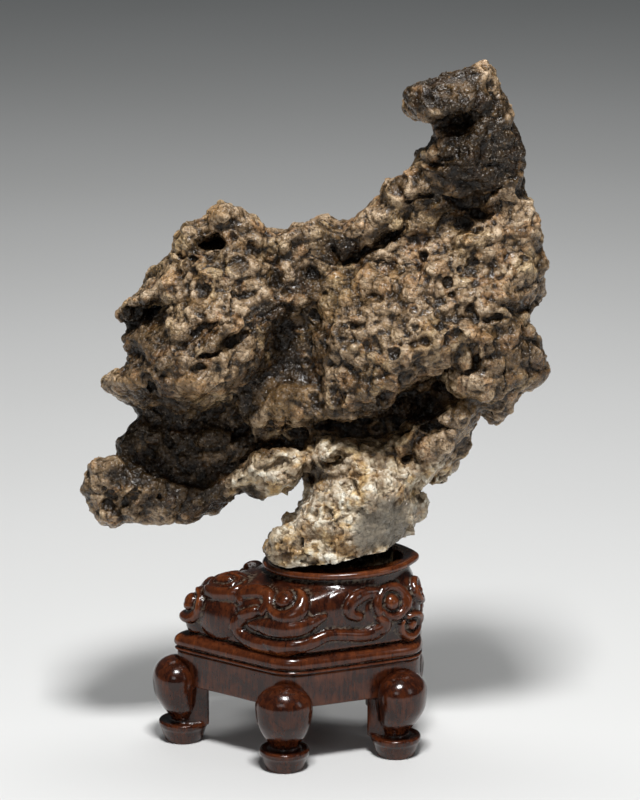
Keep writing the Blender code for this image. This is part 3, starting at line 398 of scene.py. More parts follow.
# ---------------------------------------------------------------- the mound's carving
CARVED_FROM_Z = BEAD_Z + 8.0        # the carving keeps between these heights
CARVED_TO_Z = LIP_Z - 5.0
CARVED_FADE = 3.0                   # height over which it dies out at either end
SCROLL_REACH = 26.0                 # no scroll lies further than this from its eye
GRAIN_SIZE = 9.0                    # faint unevenness of the carved wood: size and height
GRAIN_RISE = 0.12

# Places are (bearing, height) on the mound's wall.
# Smooth swellings under the clouds: place, radius, height.
SWELLS = (
    ((200, 98), 19, 4.5), ((186, 90), 11, 3.0), ((192, 117), 17, 6.5), ((222, 112), 13, 2.5),
    ((258, 100), 20, 2.5), ((330, 104), 16, 2.5), ((300, 110), 14, 1.5), ((348, 104), 14, 2.5),
    ((20, 100), 18, 3.0), ((48, 100), 18, 3.0), ((78, 100), 20, 3.0), ((108, 102), 20, 3.0),
    ((138, 102), 20, 3.5), ((164, 108), 18, 4.5),
)
# Raised bands: corners as (bearing, height, half-width), how far they stand out.
BANDS = (
    (((232, 106, 4.0), (221, 101, 5.0), (216, 93, 5.2), (222, 86, 5.4), (240, 84, 5.6),
      (262, 85.5, 5.8), (280, 89, 5.2), (290, 93, 4.6), (304, 91.5, 4.6), (318, 88.5, 5.0),
      (327, 91, 6.2), (330, 96, 5.2), (326, 101, 3.2)), 5.0),
    (((229, 97, 2.5), (238, 97.5, 5.5), (256, 98.5, 7.2), (272, 101, 6.2), (285, 106, 2.5)), 4.2),
    (((206, 112, 4.0), (212, 117, 6.5), (220, 119, 6.5), (232, 118, 4.5), (239, 113, 4.0),
      (237, 107, 3.4)), 4.0),
    (((318, 119, 4.0), (308, 119, 5.0), (301, 114, 5.5), (304, 107, 4.6), (313, 103, 3.4)), 3.6),
    (((174, 108, 4.0), (186, 111, 4.5), (196, 110, 4.0), (206, 113, 3.5), (214, 111, 3.0)), 2.6),
    (((2, 88, 4.0), (14, 86, 5.0), (30, 88, 5.2), (44, 94, 5.0), (56, 92, 4.6), (66, 86, 5.0),
      (78, 86, 5.2)), 4.4),
    (((78, 86, 5.0), (92, 84, 5.0), (106, 88, 5.2), (116, 95, 5.0), (126, 92, 4.8),
      (140, 86, 5.0), (156, 88, 5.0), (166, 94, 4.6)), 4.4),
    (((30, 118, 3.5), (42, 117, 5.0), (52, 112, 5.5), (54, 104, 4.2)), 3.4),
    (((76, 118, 4.0), (88, 116, 5.4), (94, 108, 4.6), (90, 102, 3.4)), 3.4),
    (((112, 119, 4.0), (122, 117, 5.4), (128, 110, 4.8), (124, 103, 3.4)), 3.4),
)
# Scrolls: place of the eye, its radius and height, the curl round it as (angle, radius,
# half-width), and the curl's height.
SCROLLS = (
    ((183, 102), 6.0, 5.5, ((80, 9, 2.0), (25, 9.6, 2.8), (-30, 10.2, 3.4), (-80, 11, 3.4),
                            (-125, 11.5, 3.0), (-165, 12, 1.5)), 4.6),
    ((248, 117), 7.3, 5.4, ((62, 9.6, 1.6), (25, 12, 3.6), (-15, 14, 5.0), (-50, 13.6, 4.6),
                            (-90, 12, 3.4), (-130, 11.6, 2.8), (-165, 12, 1.6)), 4.6),
    ((332, 110.5), 5.8, 4.6, ((205, 12, 3.5), (150, 11.5, 3.4), (95, 10.6, 3.2), (45, 11, 3.8),
                              (0, 11.8, 4.4), (-45, 11.4, 4.0), (-95, 10, 3.0),
                              (-150, 9, 1.6)), 4.2),
    ((352, 113), 4.0, 4.0, ((0, 7.6, 2.6), (90, 7.4, 2.4), (180, 7.4, 2.6), (270, 7.6, 2.8),
                            (350, 7.4, 2.0)), 4.0),
    ((343, 91.5), 4.2, 4.2, ((120, 7.8, 2.2), (30, 8, 2.8), (-60, 8.2, 3.2), (-150, 8.4, 3.0),
                             (-210, 8.4, 2.0)), 4.2),
    ((28, 107), 5.8, 4.6, ((120, 9.6, 2.0), (60, 10.4, 3.6), (0, 11.6, 4.2), (-60, 11.4, 3.6),
                           (-130, 10.4, 2.6), (-190, 10, 1.6)), 4.2),
    ((66, 106), 6.2, 4.8, ((60, 9.8, 2.0), (120, 10.8, 3.6), (180, 12, 4.4), (240, 11.6, 3.8),
                           (300, 10.6, 2.8), (360, 10, 1.6)), 4.4),
    ((104, 108), 6.0, 4.8, ((120, 9.8, 2.0), (60, 10.8, 3.6), (0, 12, 4.4), (-60, 11.6, 3.8),
                            (-130, 10.6, 2.8), (-190, 10, 1.6)), 4.4),
    ((140, 108), 6.0, 4.8, ((60, 9.8, 2.0), (120, 10.6, 3.4), (180, 11.8, 4.0), (240, 11.4, 3.6),
                            (300, 10.4, 2.8), (360, 10, 1.6)), 4.4),
    ((166, 100), 5.4, 4.6, ((110, 8.8, 2.0), (50, 9.6, 3.0), (-10, 10.4, 3.6), (-80, 10.2, 3.2),
                            (-150, 9.6, 2.2), (-200, 9.4, 1.4)), 4.2),
    ((10, 92), 4.4, 4.2, ((60, 7.8, 2.0), (130, 8.2, 2.8), (200, 8.6, 3.0), (280, 8.4, 2.6),
                          (340, 8, 1.6)), 4.0),
)
# Cut lines: corners, half-width, depth.
GROOVES = (
    (((202, 117.5), (198, 121.6), (187, 122.6), (181, 119.5), (186, 115.6), (194, 115.4),
      (198, 118.0), (193, 120.2), (187, 119.6)), 1.1, 2.2),
    (((174, 112), (168, 116), (158, 119), (150, 117), (148, 112)), 1.2, 1.8),
)

# Outline of the stand below the mound: growth over the plan, height over the apron's underside.
APRON_PROFILE = (
    (0.0, 0.0), (0.7, 0.15), (1.2, 0.6), (1.4, 1.4), (1.5, 2.6), (1.5, 6.0), (1.5, 12.0),
    (1.5, 18.0), (1.5, 23.2), (1.4, 24.0), (0.7, 24.4), (0.6, 24.8), (1.6, 25.1), (2.5, 25.6),
    (2.8, 26.3), (2.5, 27.0), (1.5, 27.5), (0.7, 27.8), (0.8, 28.2), (1.8, 28.6), (2.6, 29.3),
    (3.0, 30.3), (3.1, 31.4), (2.9, 32.8), (2.5, 34.2), (1.8, 35.4), (0.6, 36.6), (-1.0, 37.4),
    (-2.8, 38.0), (-4.4, 38.5), (-5.4, 39.2),
)
# Outline of the rolled lip: outward from its oval, height from its top.
LIP_PROFILE = (
    (-4.5, -8.0), (-4.5, -6.8), (-3.9, -5.8), (-2.2, -5.2), (-0.6, -4.8), (0.3, -4.0),
    (0.7, -2.9), (0.6, -1.8), (0.1, -0.8), (-0.8, -0.2), (-2.0, 0.0), (-3.4, -0.3),
    (-4.8, -0.9), (-6.2, -1.6), (-7.6, -2.2),
)

# ---------------------------------------------------------------- colours
# Ramps: place on the ramp, colour.
BROWN_STONE = (
    (0.0, (0.006, 0.003, 0.001)), (0.22, (0.040, 0.0225, 0.0085)),
    (0.45, (0.158, 0.100, 0.052)), (0.68, (0.335, 0.232, 0.138)), (1.0, (0.66, 0.50, 0.34)),
)
PALE_STONE = (
    (0.0, (0.010, 0.007, 0.004)), (0.22, (0.070, 0.048, 0.028)),
    (0.45, (0.30, 0.225, 0.14)), (0.68, (0.62, 0.51, 0.36)), (1.0, (0.92, 0.86, 0.72)),
)
RED_WOOD = (
    (0.0, (0.005, 0.0016, 0.001)), (0.35, (0.026, 0.0062, 0.0028)),
    (0.62, (0.098, 0.024, 0.007)), (1.0, (0.27, 0.078, 0.020)),
)
PAPER = ((0.3, (0.70, 0.70, 0.69)), (0.7, (0.73, 0.73, 0.725)))
# Tints that multiply the stone's own colour.
RUST = (1.0, 0.78, 0.55, 1.0)
OLIVE = (0.95, 0.92, 0.55, 1.0)
SLATE = (0.64, 0.66, 0.76, 1.0)
GOLD = (1.0, 0.80, 0.50, 1.0)
UMBER = (0.50, 0.40, 0.32, 1.0)
# Colours laid over what is under them.
OCHRE = (0.33, 0.19, 0.075, 1.0)
# Pale specks painted as glints of light.
GLINT_SPECK = (0.42, 0.36, 0.29, 1.0)
DARK_ASH = (0.10, 0.085, 0.065, 1.0)
PALE_ASH = (0.26, 0.23, 0.18, 1.0)
DUST = (0.25, 0.19, 0.13, 1.0)
PORE = (0.008, 0.003, 0.002, 1.0)

# ---------------------------------------------------------------- the studio, in metres
EYE = (0.0049, -2.4127, 0.8995)
AIM = (0.0049, 0.0021, 0.2525)
LENS = 159.57
SENSOR = 36.0                       # the camera's sensor, in millimetres as its lens is
FLOOR_SIZE = 24.0
ROOM_LIGHT = 0.18
ROOM_TINT = (0.275, 0.31, 0.325, 1.0)
# Softboxes: name, place, target, size, power.
SOFTBOXES = (
    ("key", (0.06, -0.80, 2.0), (0.0, 0.02, 0.25), (0.42, 0.34), 46.0),
    ("front", (-0.5, -2.3, 1.5), (0.0, 0.0, 0.25), (0.8, 0.6), 4.0),
    ("side", (1.5, -0.9, 0.9), (0.05, 0.0, 0.3), (0.4, 0.8), 2.0),
    ("back", (0.0, 0.75, 2.2), (0.0, 0.65, 0.0), (1.8, 1.0), 18.0),
)


# ---------------------------------------------------------------- helpers
def new_object(name, mesh):
    obj = bpy.data.objects.new(name, mesh)
    bpy.context.scene.collection.objects.link(obj)
    return obj


def baked(obj):
    """A new mesh of the object as its modifiers leave it."""
    bpy.context.view_layer.update()
    graph = bpy.context.evaluated_depsgraph_get()
    return bpy.data.meshes.new_from_object(obj.evaluated_get(graph))


def points_of(mesh):
    points = np.empty(len(mesh.vertices) * 3)
    mesh.vertices.foreach_get("co", points)
    return points.reshape(-1, 3)


def set_points(mesh, points):
    mesh.vertices.foreach_set("co", np.ascontiguousarray(points, np.float32).ravel())
    mesh.update()


def vertex_normals(mesh):
    normals = np.empty(len(mesh.vertices) * 3)
    mesh.vertex_normals.foreach_get("vector", normals)
    return normals.reshape(-1, 3)


def edge_ends(mesh):
    ends = np.empty(len(mesh.edges) * 2, int)
    mesh.edges.foreach_get("vertices", ends)
    return ends.reshape(-1, 2)


def store(mesh, name, values):
    layer = mesh.attributes.new(name, "FLOAT", "POINT")
    layer.data.foreach_set("value", np.ascontiguousarray(values, np.float32))


def voxel_remesh(obj, size):
    modifier = obj.modifiers.new("Fuse", "REMESH")
    modifier.mode = "VOXEL"
    modifier.voxel_size = size
    obj.data = baked(obj)
    obj.modifiers.clear()


def joined(objects):
    with bpy.context.temp_override(
        active_object=objects[0], object=objects[0], selected_editable_objects=objects,
        selected_objects=objects,
    ):
        bpy.ops.object.join()
    return objects[0]


def relaxed(values, ends, rounds):
    """Values at the vertices, averaged with their neighbours a number of times."""
    count = len(values)
    reach = np.bincount(ends.ravel(), minlength=count).clip(1)
    for _ in range(rounds):
        total = np.empty_like(values)
        for axis in range(values.shape[1]):
            column = values[:, axis]
            total[:, axis] = np.bincount(ends[:, 0], column[ends[:, 1]], count)
            total[:, axis] += np.bincount(ends[:, 1], column[ends[:, 0]], count)
        values = total / reach[:, None]
    return values


def standing_out(mesh, rounds, unit):
    """How far each vertex stands out over the ground around it, in units: minus in a hollow."""
    points = points_of(mesh)
    ground = relaxed(points, edge_ends(mesh), rounds)
    return np.einsum("ij,ij->i", points - ground, vertex_normals(mesh)) / unit


def polyline_distance(points, route, closed):
    """Distance of each point from a route, in as many dimensions as the points have."""
    route = np.array(route, float)
    ends = np.roll(route, -1, axis=0) if closed else route[1:]
    starts = route if closed else route[:-1]
    nearest = np.full(len(points), np.inf)
    for start, end in zip(starts, ends):
        along = end - start
        share = np.clip((points - start) @ along / (along @ along), 0.0, 1.0)
        gap = np.linalg.norm(points - start - share[:, None] * along, axis=1)
        nearest = np.minimum(nearest, gap)
    return nearest


def tube_height(points, route, height):
    """Height of a rounded band over a route whose last column is its half-width."""
    best = np.zeros(len(points))
    starts, ends = route[:-1], route[1:]
    for start, end in zip(starts, ends):
        along = end[:-1] - start[:-1]
        share = np.clip((points - start[:-1]) @ along / (along @ along + 1e-9), 0.0, 1.0)
        gap = np.linalg.norm(points - start[:-1] - share[:, None] * along, axis=1)
        half = start[-1] + share * (end[-1] - start[-1])
        level = height * np.sqrt(np.clip(1.0 - (gap / half) ** 2, 0.0, 1.0))
        best = np.maximum(best, level * np.clip(half / route[:, -1].max() + 0.35, 0.0, 1.0))
    return best


def drawn(cell, salt):
    """Three repeatable random numbers for each cell of a grid."""
    mix = cell @ np.array([[127.1, 269.5, 113.5], [311.7, 183.3, 271.9], [74.7, 246.1, 124.6]])
    return np.modf(np.abs(np.sin(mix + salt)) * 43758.5453)[0]


def soft_noise(points, size, salt):
    """Smooth noise from -1 to 1, with features about as big as size."""
    grid = points / size
    home = np.floor(grid)
    share = grid - home
    share = share * share * (3.0 - 2.0 * share)
    total = np.zeros(len(points))
    for corner in itertools.product((0.0, 1.0), repeat=3):
        weight = np.prod(np.where(np.array(corner) > 0.5, share, 1.0 - share), axis=1)
        total += weight * drawn(home + corner, salt)[:, 0]
    return total * 2.0 - 1.0


def layered(points, layers, salt=0.0):
    """Several layers of soft noise, added up."""
    return sum(rise * soft_noise(points, size, own + salt) for rise, size, own in layers)


def pimpled(points, size, salt, cup_share):
    """Round bubbles and cups of mixed sizes: bubbles swell to 1, cups sink within a rim."""
    grid = points / size
    home = np.floor(grid)
    bubble = np.zeros(len(points))
    cup = bubble.copy()
    rim = bubble.copy()
    for step in itertools.product((-1.0, 0.0, 1.0), repeat=3):
        cell = home + step
        lot = drawn(cell, salt)
        more = drawn(cell, salt + 57.0)
        radius = 0.52 + 0.40 * more[:, 0] ** 1.5
        gap = np.linalg.norm(cell + lot - grid, axis=1) / radius
        dome = np.sqrt(np.clip(1.0 - gap * gap, 0.0, 1.0)) * radius
        sunk = more[:, 1] < cup_share
        bubble = np.maximum(bubble, np.where(sunk, 0.0, dome))
        cup = np.maximum(cup, np.where(sunk, dome, 0.0))
        ring = np.exp(-((gap - 1.0) / 0.14) ** 2) * radius
        rim = np.maximum(rim, np.where(sunk, ring, 0.0))
    return bubble * (1.0 - cup) - 0.6 * cup + 0.5 * rim * (cup < 0.4)


def chipped(points, size, salt):
    """Flat facets, each tilted its own way and broken off from the next, from -1 to 1."""
    grid = points / size
    home = np.floor(grid)
    nearest = np.full(len(points), np.inf)
    level = np.zeros(len(points))
    for step in itertools.product((-1.0, 0.0, 1.0), repeat=3):
        cell = home + step
        away = grid - cell - drawn(cell, salt)
        tilt = drawn(cell, salt + 23.0) * 2.0 - 1.0
        gap = np.einsum("ij,ij->i", away, away)
        closer = gap < nearest
        nearest = np.where(closer, gap, nearest)
        facet = np.einsum("ij,ij->i", away, tilt) + 0.35 * tilt[:, 0]
        level = np.where(closer, facet, level)
    return np.clip(level, -1.0, 1.0)


def patched(upright, patches):
    """Share from 0 to 1 of each point in a list of ragged oval patches."""
    share = np.zeros(len(upright))
    ragged = layered(upright, PATCH_RAGGED)
    for x, z, half_width, half_height, strength in patches:
        reach = np.hypot((upright[:, 0] - x) / half_width, (upright[:, 2] - z) / half_height)
        edge = np.clip((1.15 - reach + ragged) / 0.4, 0.0, 1.0)
        share = np.maximum(share, strength * edge)
    return share


# ---------------------------------------------------------------- the stone
def draped(points, knots):
    """Depth at each (x, z) point of a face bent smoothly through its knots."""
    knots = np.array(knots, float)
    places = knots[:, :2] / 100.0

    def bending(spots):
        gap = np.linalg.norm(spots[:, None] - places[None], axis=2) + 1e-9
        return np.column_stack([gap * gap * np.log(gap), np.ones(len(spots)), spots])

    system = np.zeros((len(knots) + 3, len(knots) + 3))
    system[:len(knots)] = bending(places)
    system[len(knots):, :len(knots)] = system[:len(knots), len(knots):].T
    weights = np.linalg.solve(system, np.append(knots[:, 2], (0.0, 0.0, 0.0)))
    return bending(points / 100.0) @ weights


def lobe_mesh(outline, face, middle, back, edge):
    """A plate of the outline, drawn forward to its face and swollen to the back."""
    curve = bpy.data.curves.new("Lobe", "CURVE")
    curve.dimensions = "2D"
    curve.fill_mode = "BOTH"
    curve.extrude = LOBE_RIM / 2
    spline = curve.splines.new("POLY")
    spline.points.add(len(outline) - 1)
    for point, (x, z) in zip(spline.points, outline):
        point.co = (x, z, 0.0, 1.0)
    spline.use_cyclic_u = True
    plate = new_object("Lobe", curve)
    solid = new_object("Lobe solid", baked(plate))
    solid.data.transform(Matrix.Rotation(math.radians(90), 4, "X"))
    bpy.data.objects.remove(plate)
    voxel_remesh(solid, LOBE_VOXEL)
    points = points_of(solid.data)
    flat = points[:, [0, 2]]
    inside = polyline_distance(flat, outline, closed=True)
    rounding = np.where(points[:, 1] < 0, edge, BACK_EDGE)
    swell = np.sqrt(1.0 - (1.0 - np.clip(inside / rounding, 0.0, 1.0)) ** 2)
    reach = np.where(points[:, 1] < 0, middle - draped(flat, face), back)
    side = np.clip(points[:, 1] / (LOBE_RIM / 2), -1.0, 1.0)
    points[:, 1] += middle + reach * side * swell
    points[:, 2] -= points[:, 1] * DEPTH_RISE
    set_points(solid.data, points)
    return solid


def foot_mesh():
    """The tapered foot under the neck, long enough to be cut flat in the socket."""
    bpy.ops.mesh.primitive_cone_add(
        vertices=FOOT_SIDES, radius1=FOOT_TAPER, radius2=1.0, depth=FOOT_HEIGHT,
    )
    foot = bpy.context.active_object
    foot.data.transform(Matrix.Diagonal((*FOOT_HALF, 1.0, 1.0)))
    foot.data.transform(Matrix.Translation((*FOOT_CENTRE, FOOT_MIDDLE_Z)))
    return foot


def dented(points, normals, hollows, facing):
    """Depth gained by each point from the hollows on the side that faces front or back."""
    depth = np.zeros(len(points))
    aimed = np.clip(-facing * normals[:, 1] * 2.0 + 0.6, 0.0, 1.0)
    for x, z, half_width, half_height, sink in hollows:
        reach = np.hypot((points[:, 0] - x) / half_width, (points[:, 2] - z) / half_height)
        depth += sink * np.clip(1.0 - reach ** 2, 0.0, 1.0) ** 0.8 * aimed
    return depth * facing


def cleft(points, normals, clefts):
    depth = np.zeros(len(points))
    aimed = np.clip(normals[:, 1] * -2.0 + 0.8, 0.0, 1.0)
    for route, sink in clefts:
        depth += tube_height(points[:, [0, 2]], np.array(route, float), sink) * aimed
    return depth


def roughened(points, normals):
    """Broad lumps and ledges along the stone's normals, and pushes that break its edges."""
    swell = np.empty(len(points))
    for i, (x, y, z) in enumerate(points):
        broad = noise.fractal(Vector((x, y * 1.3, z * 1.6)) / BROAD_SIZE, 1.0, 2.0, 3)
        block = noise.voronoi(Vector((x, y, z)) / BLOCK_SIZE)[0]
        swell[i] = STONE_GROWTH + BROAD_RISE * broad + BLOCK_RISE * (0.5 - block[0])
    free = np.clip((points[:, 2] - LIP_Z) / 10.0, 0.0, 1.0)[:, None]
    push = np.column_stack([layered(points, EDGE_PUSHES, salt) for salt in (101.0, 102.0, 103.0)])
    return points + (normals * swell[:, None] + push) * free


def kept_in_socket(points):
    """Only the foot goes down into the socket: all else stays above the base line."""
    reach = np.linalg.norm((points[:, :2] - FOOT_CENTRE) / FOOT_HALF, axis=1)
    base = np.interp(points[:, 0], *np.transpose(BASE_LINE))
    beside = (points[:, 2] < base) & (reach > FOOT_MARGIN)
    points[beside, 2] = base[beside]
    return points


def upright_of(points):
    """Points in the plane of the outlines: x, depth, and the height read from the front."""
    return points + np.outer(points[:, 1], (0.0, 0.0, DEPTH_RISE))


def hollowed(mesh, front, back, clefts):
    points = points_of(mesh)
    normals = vertex_normals(mesh)
    upright = upright_of(points)
    for axis, salt in ((0, 81.0), (2, 82.0)):
        upright[:, axis] += WANDER_REACH * soft_noise(points, WANDER_SIZE, salt)
    depth = dented(upright, normals, front, 1.0) + dented(upright, normals, back, -1.0)
    depth += cleft(upright, normals, clefts)
    depth *= np.clip((points[:, 2] - LIP_Z - 2.0) / LIP_FADE, 0.0, 1.0)
    points[:, 1] += depth
    points[:, 2] -= depth * DEPTH_RISE
    set_points(mesh, points)


def neck_share(upright):
    """Where the pale, granular stone of the neck shows."""
    height = np.interp(upright[:, 0], *np.transpose(NECK_TOP))
    ragged = layered(upright, NECK_RAGGED)
    return np.clip((height - upright[:, 2] + ragged) / NECK_FADE + 0.5, 0.0, 1.0)


def crusted(mesh):
    """Covers the stone with its bubbles, cups and grit, and keeps what the colours need."""
    points = points_of(mesh)
    normals = vertex_normals(mesh)
    upright = upright_of(points)
    warp = np.column_stack([soft_noise(points, BEND_SIZE, salt) for salt in (11.0, 12.0, 13.0)])
    bent = points + BEND_REACH * warp
    front = np.clip(1.3 - normals[:, 1] * 2.0, 0.0, 1.0)
    neck = neck_share(upright)
    grey = patched(upright, GREY_FACE) * front
    facing = 0.45 + 0.55 * np.clip(np.abs(normals[:, 1]) * 1.5, 0.0, 1.0)
    patchy = np.clip(0.75 + 0.6 * soft_noise(points, 34.0, 21.0), 0.3, 1.0)
    crust = 1.0 - 0.95 * neck
    lumps = np.abs(soft_noise(bent, LUMP_SIZE, 23.0))
    lumps += 0.6 * np.abs(soft_noise(bent, 13.0, 25.0))
    swell = LUMP_RISE * (lumps - 0.45) * (1.0 - 0.3 * neck)
    large = pimpled(bent, LARGE_BUBBLE, 31.0, LARGE_CUPS)
    small = pimpled(bent, SMALL_BUBBLE, 37.0, SMALL_CUPS)
    swell += LARGE_RISE * (large - 0.4) * patchy * crust
    swell += SMALL_RISE * (small - 0.4) * (1.25 - 0.5 * patchy) * crust
    swell += GRIT_RISE * soft_noise(points, GRIT_SIZE, 41.0)
    swell += CHIP_RISE * chipped(bent, CHIP_SIZE, 45.0) * (0.08 + 0.92 * neck)
    swell += FINE_CHIP_RISE * chipped(points, FINE_CHIP_SIZE, 47.0) * neck
    swell += RIPPLE_RISE * soft_noise(points @ FLOW, RIPPLE_SIZE, 61.0) * crust
    crack = np.clip(1.0 - np.abs(soft_noise(bent, CRACK_SIZE, 67.0)) / CRACK_WIDTH, 0.0, 1.0)
    crack *= np.clip(0.4 + 1.6 * soft_noise(points, 40.0, 71.0), 0.0, 1.0)
    swell -= CRACK_DEPTH * crack
    swell *= facing * (1.0 - 0.8 * grey)
    swell += SIDE_CHIP_RISE * chipped(points, SIDE_CHIP_SIZE, 73.0) * (1.0 - facing)
    swell *= np.clip((points[:, 2] - LIP_Z + 4.0) / LIP_FADE, 0.0, 1.0)
    points += normals * swell[:, None]
    set_points(mesh, kept_in_socket(points))
    store(mesh, "neck", neck)
    store(mesh, "grey", grey)
    # Painted shade and patina: darker patches on the front faces.
    store(mesh, "patina_shade", patched(upright, PATINA_AND_SHADE) * front)
    store(mesh, "tan", patched(upright, TANS) * front)
    store(mesh, "bubble", np.maximum(0.65 * large + 0.45 * small, 0.18))


def make_stone():
    solids = [lobe_mesh(*lobe) for lobe in LOBES]
    stone = joined([*solids, foot_mesh()])
    stone.name = "rock"
    voxel_remesh(stone, STONE_VOXEL)
    mesh = stone.data
    set_points(mesh, relaxed(points_of(mesh), edge_ends(mesh), STONE_EASING))
    set_points(mesh, roughened(points_of(mesh), vertex_normals(mesh)))
    hollowed(mesh, FRONT_HOLLOWS, BACK_HOLLOWS, FRONT_CLEFTS)
    hollowed(mesh, FINE_HOLLOWS, (), ())
    voxel_remesh(stone, SKIN_VOXEL)
    crusted(stone.data)
    thin = stone.modifiers.new("Thin", "DECIMATE")
    thin.ratio = min(1.0, STONE_TRIANGLES / (2 * len(stone.data.polygons)))
    stone.data = baked(stone)
    stone.modifiers.clear()
    mesh = stone.data
    store(mesh, "fine", standing_out(mesh, *FINE_RELIEF))
    store(mesh, "broad", standing_out(mesh, *BROAD_RELIEF))
    body = bmesh.new()
    body.from_mesh(mesh)
    cut = bmesh.ops.bisect_plane(
        body, geom=body.verts[:] + body.edges[:] + body.faces[:],
        plane_co=(0.0, 0.0, SOCKET_Z + FIT_GAP), plane_no=(0.0, 0.0, -1.0), clear_outer=True,
    )
    rim = [item for item in cut["geom_cut"] if isinstance(item, bmesh.types.BMEdge)]
    bmesh.ops.contextual_create(body, geom=rim)
    body.to_mesh(mesh)
    body.free()
    finished(stone, "stone", stone_material())
    return stone


def finished(obj, node, material):
    """Brings a piece into the frame's place and scale, and lets it stand for its node."""
    obj.data.transform(Matrix.Translation(STAND_SHIFT))
    obj.data.transform(Matrix.Scale(MM, 4))
    obj.data.shade_smooth()
    obj.data.materials.clear()
    obj.data.materials.append(material)
    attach(obj, "root")
    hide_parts(node)


# ---------------------------------------------------------------- the stand
def plan_radius(bearings, grow=0.0):
    """The rounded five-sided plan, as a radius for each bearing."""
    total = np.zeros(len(bearings))
    for facing, reach in PLAN_SIDES:
        share = np.clip(np.cos(bearings - math.radians(facing)), 0.0, 1.0) / (reach + grow)
        total += share ** PLAN_ROUNDING
    return total ** (-1.0 / PLAN_ROUNDING)


def plan_ring(bearings, grow=0.0):
    radius = plan_radius(bearings, grow)
    return np.stack([radius * np.cos(bearings), radius * np.sin(bearings)], axis=1)


def oval_ring(bearings, half, centre=LIP_CENTRE):
    ring = np.stack([half[0] * np.cos(bearings), half[1] * np.sin(bearings)], axis=1)
    return ring + centre


def lip_tilt(points):
    """Lowers the top of the stand towards its left end."""
    left = np.clip((LIP_CENTRE[0] + LIP_HALF[0] - points[:, 0]) / (2 * LIP_HALF[0]), 0.0, 1.0)
    points[:, 2] -= LIP_DROP * left * np.clip((points[:, 2] - SOCKET_Z) / 15.0, 0.0, 1.0)
    return points


def mound_points(places):
    """Points of the plain mound at (bearing in degrees, height) places."""
    places = np.array(places, float).reshape(-1, 2)
    shares, heights = zip(*MOUND_WALL)
    share = np.interp(places[:, 1], heights, shares)[:, None]
    angles = np.radians(places[:, 0])
    neck = oval_ring(angles, (LIP_HALF[0] - LIP_ROLL, LIP_HALF[1] - LIP_ROLL))
    spots = np.column_stack([plan_ring(angles) * (1.0 - share) + neck * share, places[:, 1]])
    return lip_tilt(spots)


def rounded_route(places, rounds=3):
    """A smooth route through a few given corners, by cutting the corners off."""
    route = np.array(places, float)
    for _ in range(rounds):
        early = route[:-1] * 0.75 + route[1:] * 0.25
        late = route[:-1] * 0.25 + route[1:] * 0.75
        middle = np.stack([early, late], axis=1).reshape(-1, route.shape[1])
        route = np.vstack([route[:1], middle, route[-1:]])
    return route


def arc(knots, count=40):
    """Knots of (angle, radius, half-width) round a scroll's eye, as a fine route."""
    knots = np.array(knots, float)
    share = np.linspace(0.0, len(knots) - 1.0, count)
    angle, radius, half = (np.interp(share, range(len(knots)), column) for column in knots.T)
    angle = np.radians(angle)
    return np.column_stack([radius * np.cos(angle), radius * np.sin(angle), half])


def face_axes(place):
    """The mound's point at a place, its sideways and its upward direction along the wall."""
    bearing, height = place
    here, right, left, above, below = mound_points((
        place, (bearing + 2.0, height), (bearing - 2.0, height), (bearing, height + 2.0),
        (bearing, height - 2.0),
    ))
    along = (right - left) / np.linalg.norm(right - left)
    climb = above - below
    climb -= along * (climb @ along)
    return here, along, climb / np.linalg.norm(climb)


def carved(mesh):
    """Raises the clouds and scrolls out of the mound, along its normals."""
    points = points_of(mesh)
    normals = vertex_normals(mesh)
    from_socket = np.linalg.norm((points[:, :2] - SOCKET_CENTRE) / SOCKET_HALF, axis=1)
    wall = (points[:, 2] > CARVED_FROM_Z) & (points[:, 2] < CARVED_TO_Z)
    wall &= from_socket >= SOCKET_MARGIN
    spots = points[wall]
    base = np.zeros(len(spots))
    for (bearing, level), size, height in SWELLS:
        centre = mound_points((bearing, level))[0]
        reach = np.linalg.norm(spots - centre, axis=1) / size
        base = np.maximum(base, height * np.clip(1.0 - reach ** 2, 0.0, 1.0) ** 0.75)
    top = np.zeros(len(spots))
    for places, height in BANDS:
        places = rounded_route(places)
        route = np.column_stack([mound_points(places[:, :2]), places[:, 2]])
        top = np.maximum(top, tube_height(spots, route, height))
    for place, eye, eye_height, knots, height in SCROLLS:
        here, along, climb = face_axes(place)
        near = np.linalg.norm(spots - here, axis=1) < SCROLL_REACH
        flat = np.column_stack([(spots[near] - here) @ along, (spots[near] - here) @ climb])
        reach = np.hypot(flat[:, 0], flat[:, 1])
        boss = eye_height * np.sqrt(np.clip(1.0 - (reach / eye) ** 2, 0.0, 1.0))
        ring = tube_height(flat, arc(knots), height)
        top[near] = np.maximum(top[near], np.maximum(boss, ring))
    for places, half, sink in GROOVES:
        places = rounded_route(places)
        gap = polyline_distance(spots, mound_points(places), closed=False)
        top -= sink * np.exp(-(gap / half) ** 2)
    rise = np.zeros(len(points))
    rise[wall] = base + top
    rise *= np.clip((points[:, 2] - CARVED_FROM_Z - 0.5) / CARVED_FADE, 0.0, 1.0)
    rise *= np.clip((CARVED_TO_Z - 1.0 - points[:, 2]) / CARVED_FADE, 0.0, 1.0)
    set_points(mesh, points + normals * rise[:, None])


def loft(rings):
    """One closed skin through rings of equally many points, with a flat face at each end."""
    body = bmesh.new()
    rows = [[body.verts.new(point) for point in ring] for ring in rings]
    for lower, upper in zip(rows, rows[1:]):
        for i, corner in enumerate(lower):
            j = (i + 1) % len(lower)
            body.faces.new((corner, lower[j], upper[j], upper[i]))
    body.faces.new(rows[0][::-1])
    body.faces.new(rows[-1])
    bmesh.ops.recalc_face_normals(body, faces=body.faces[:])
    mesh = bpy.data.meshes.new("Loft")
    body.to_mesh(mesh)
    body.free()
    return mesh


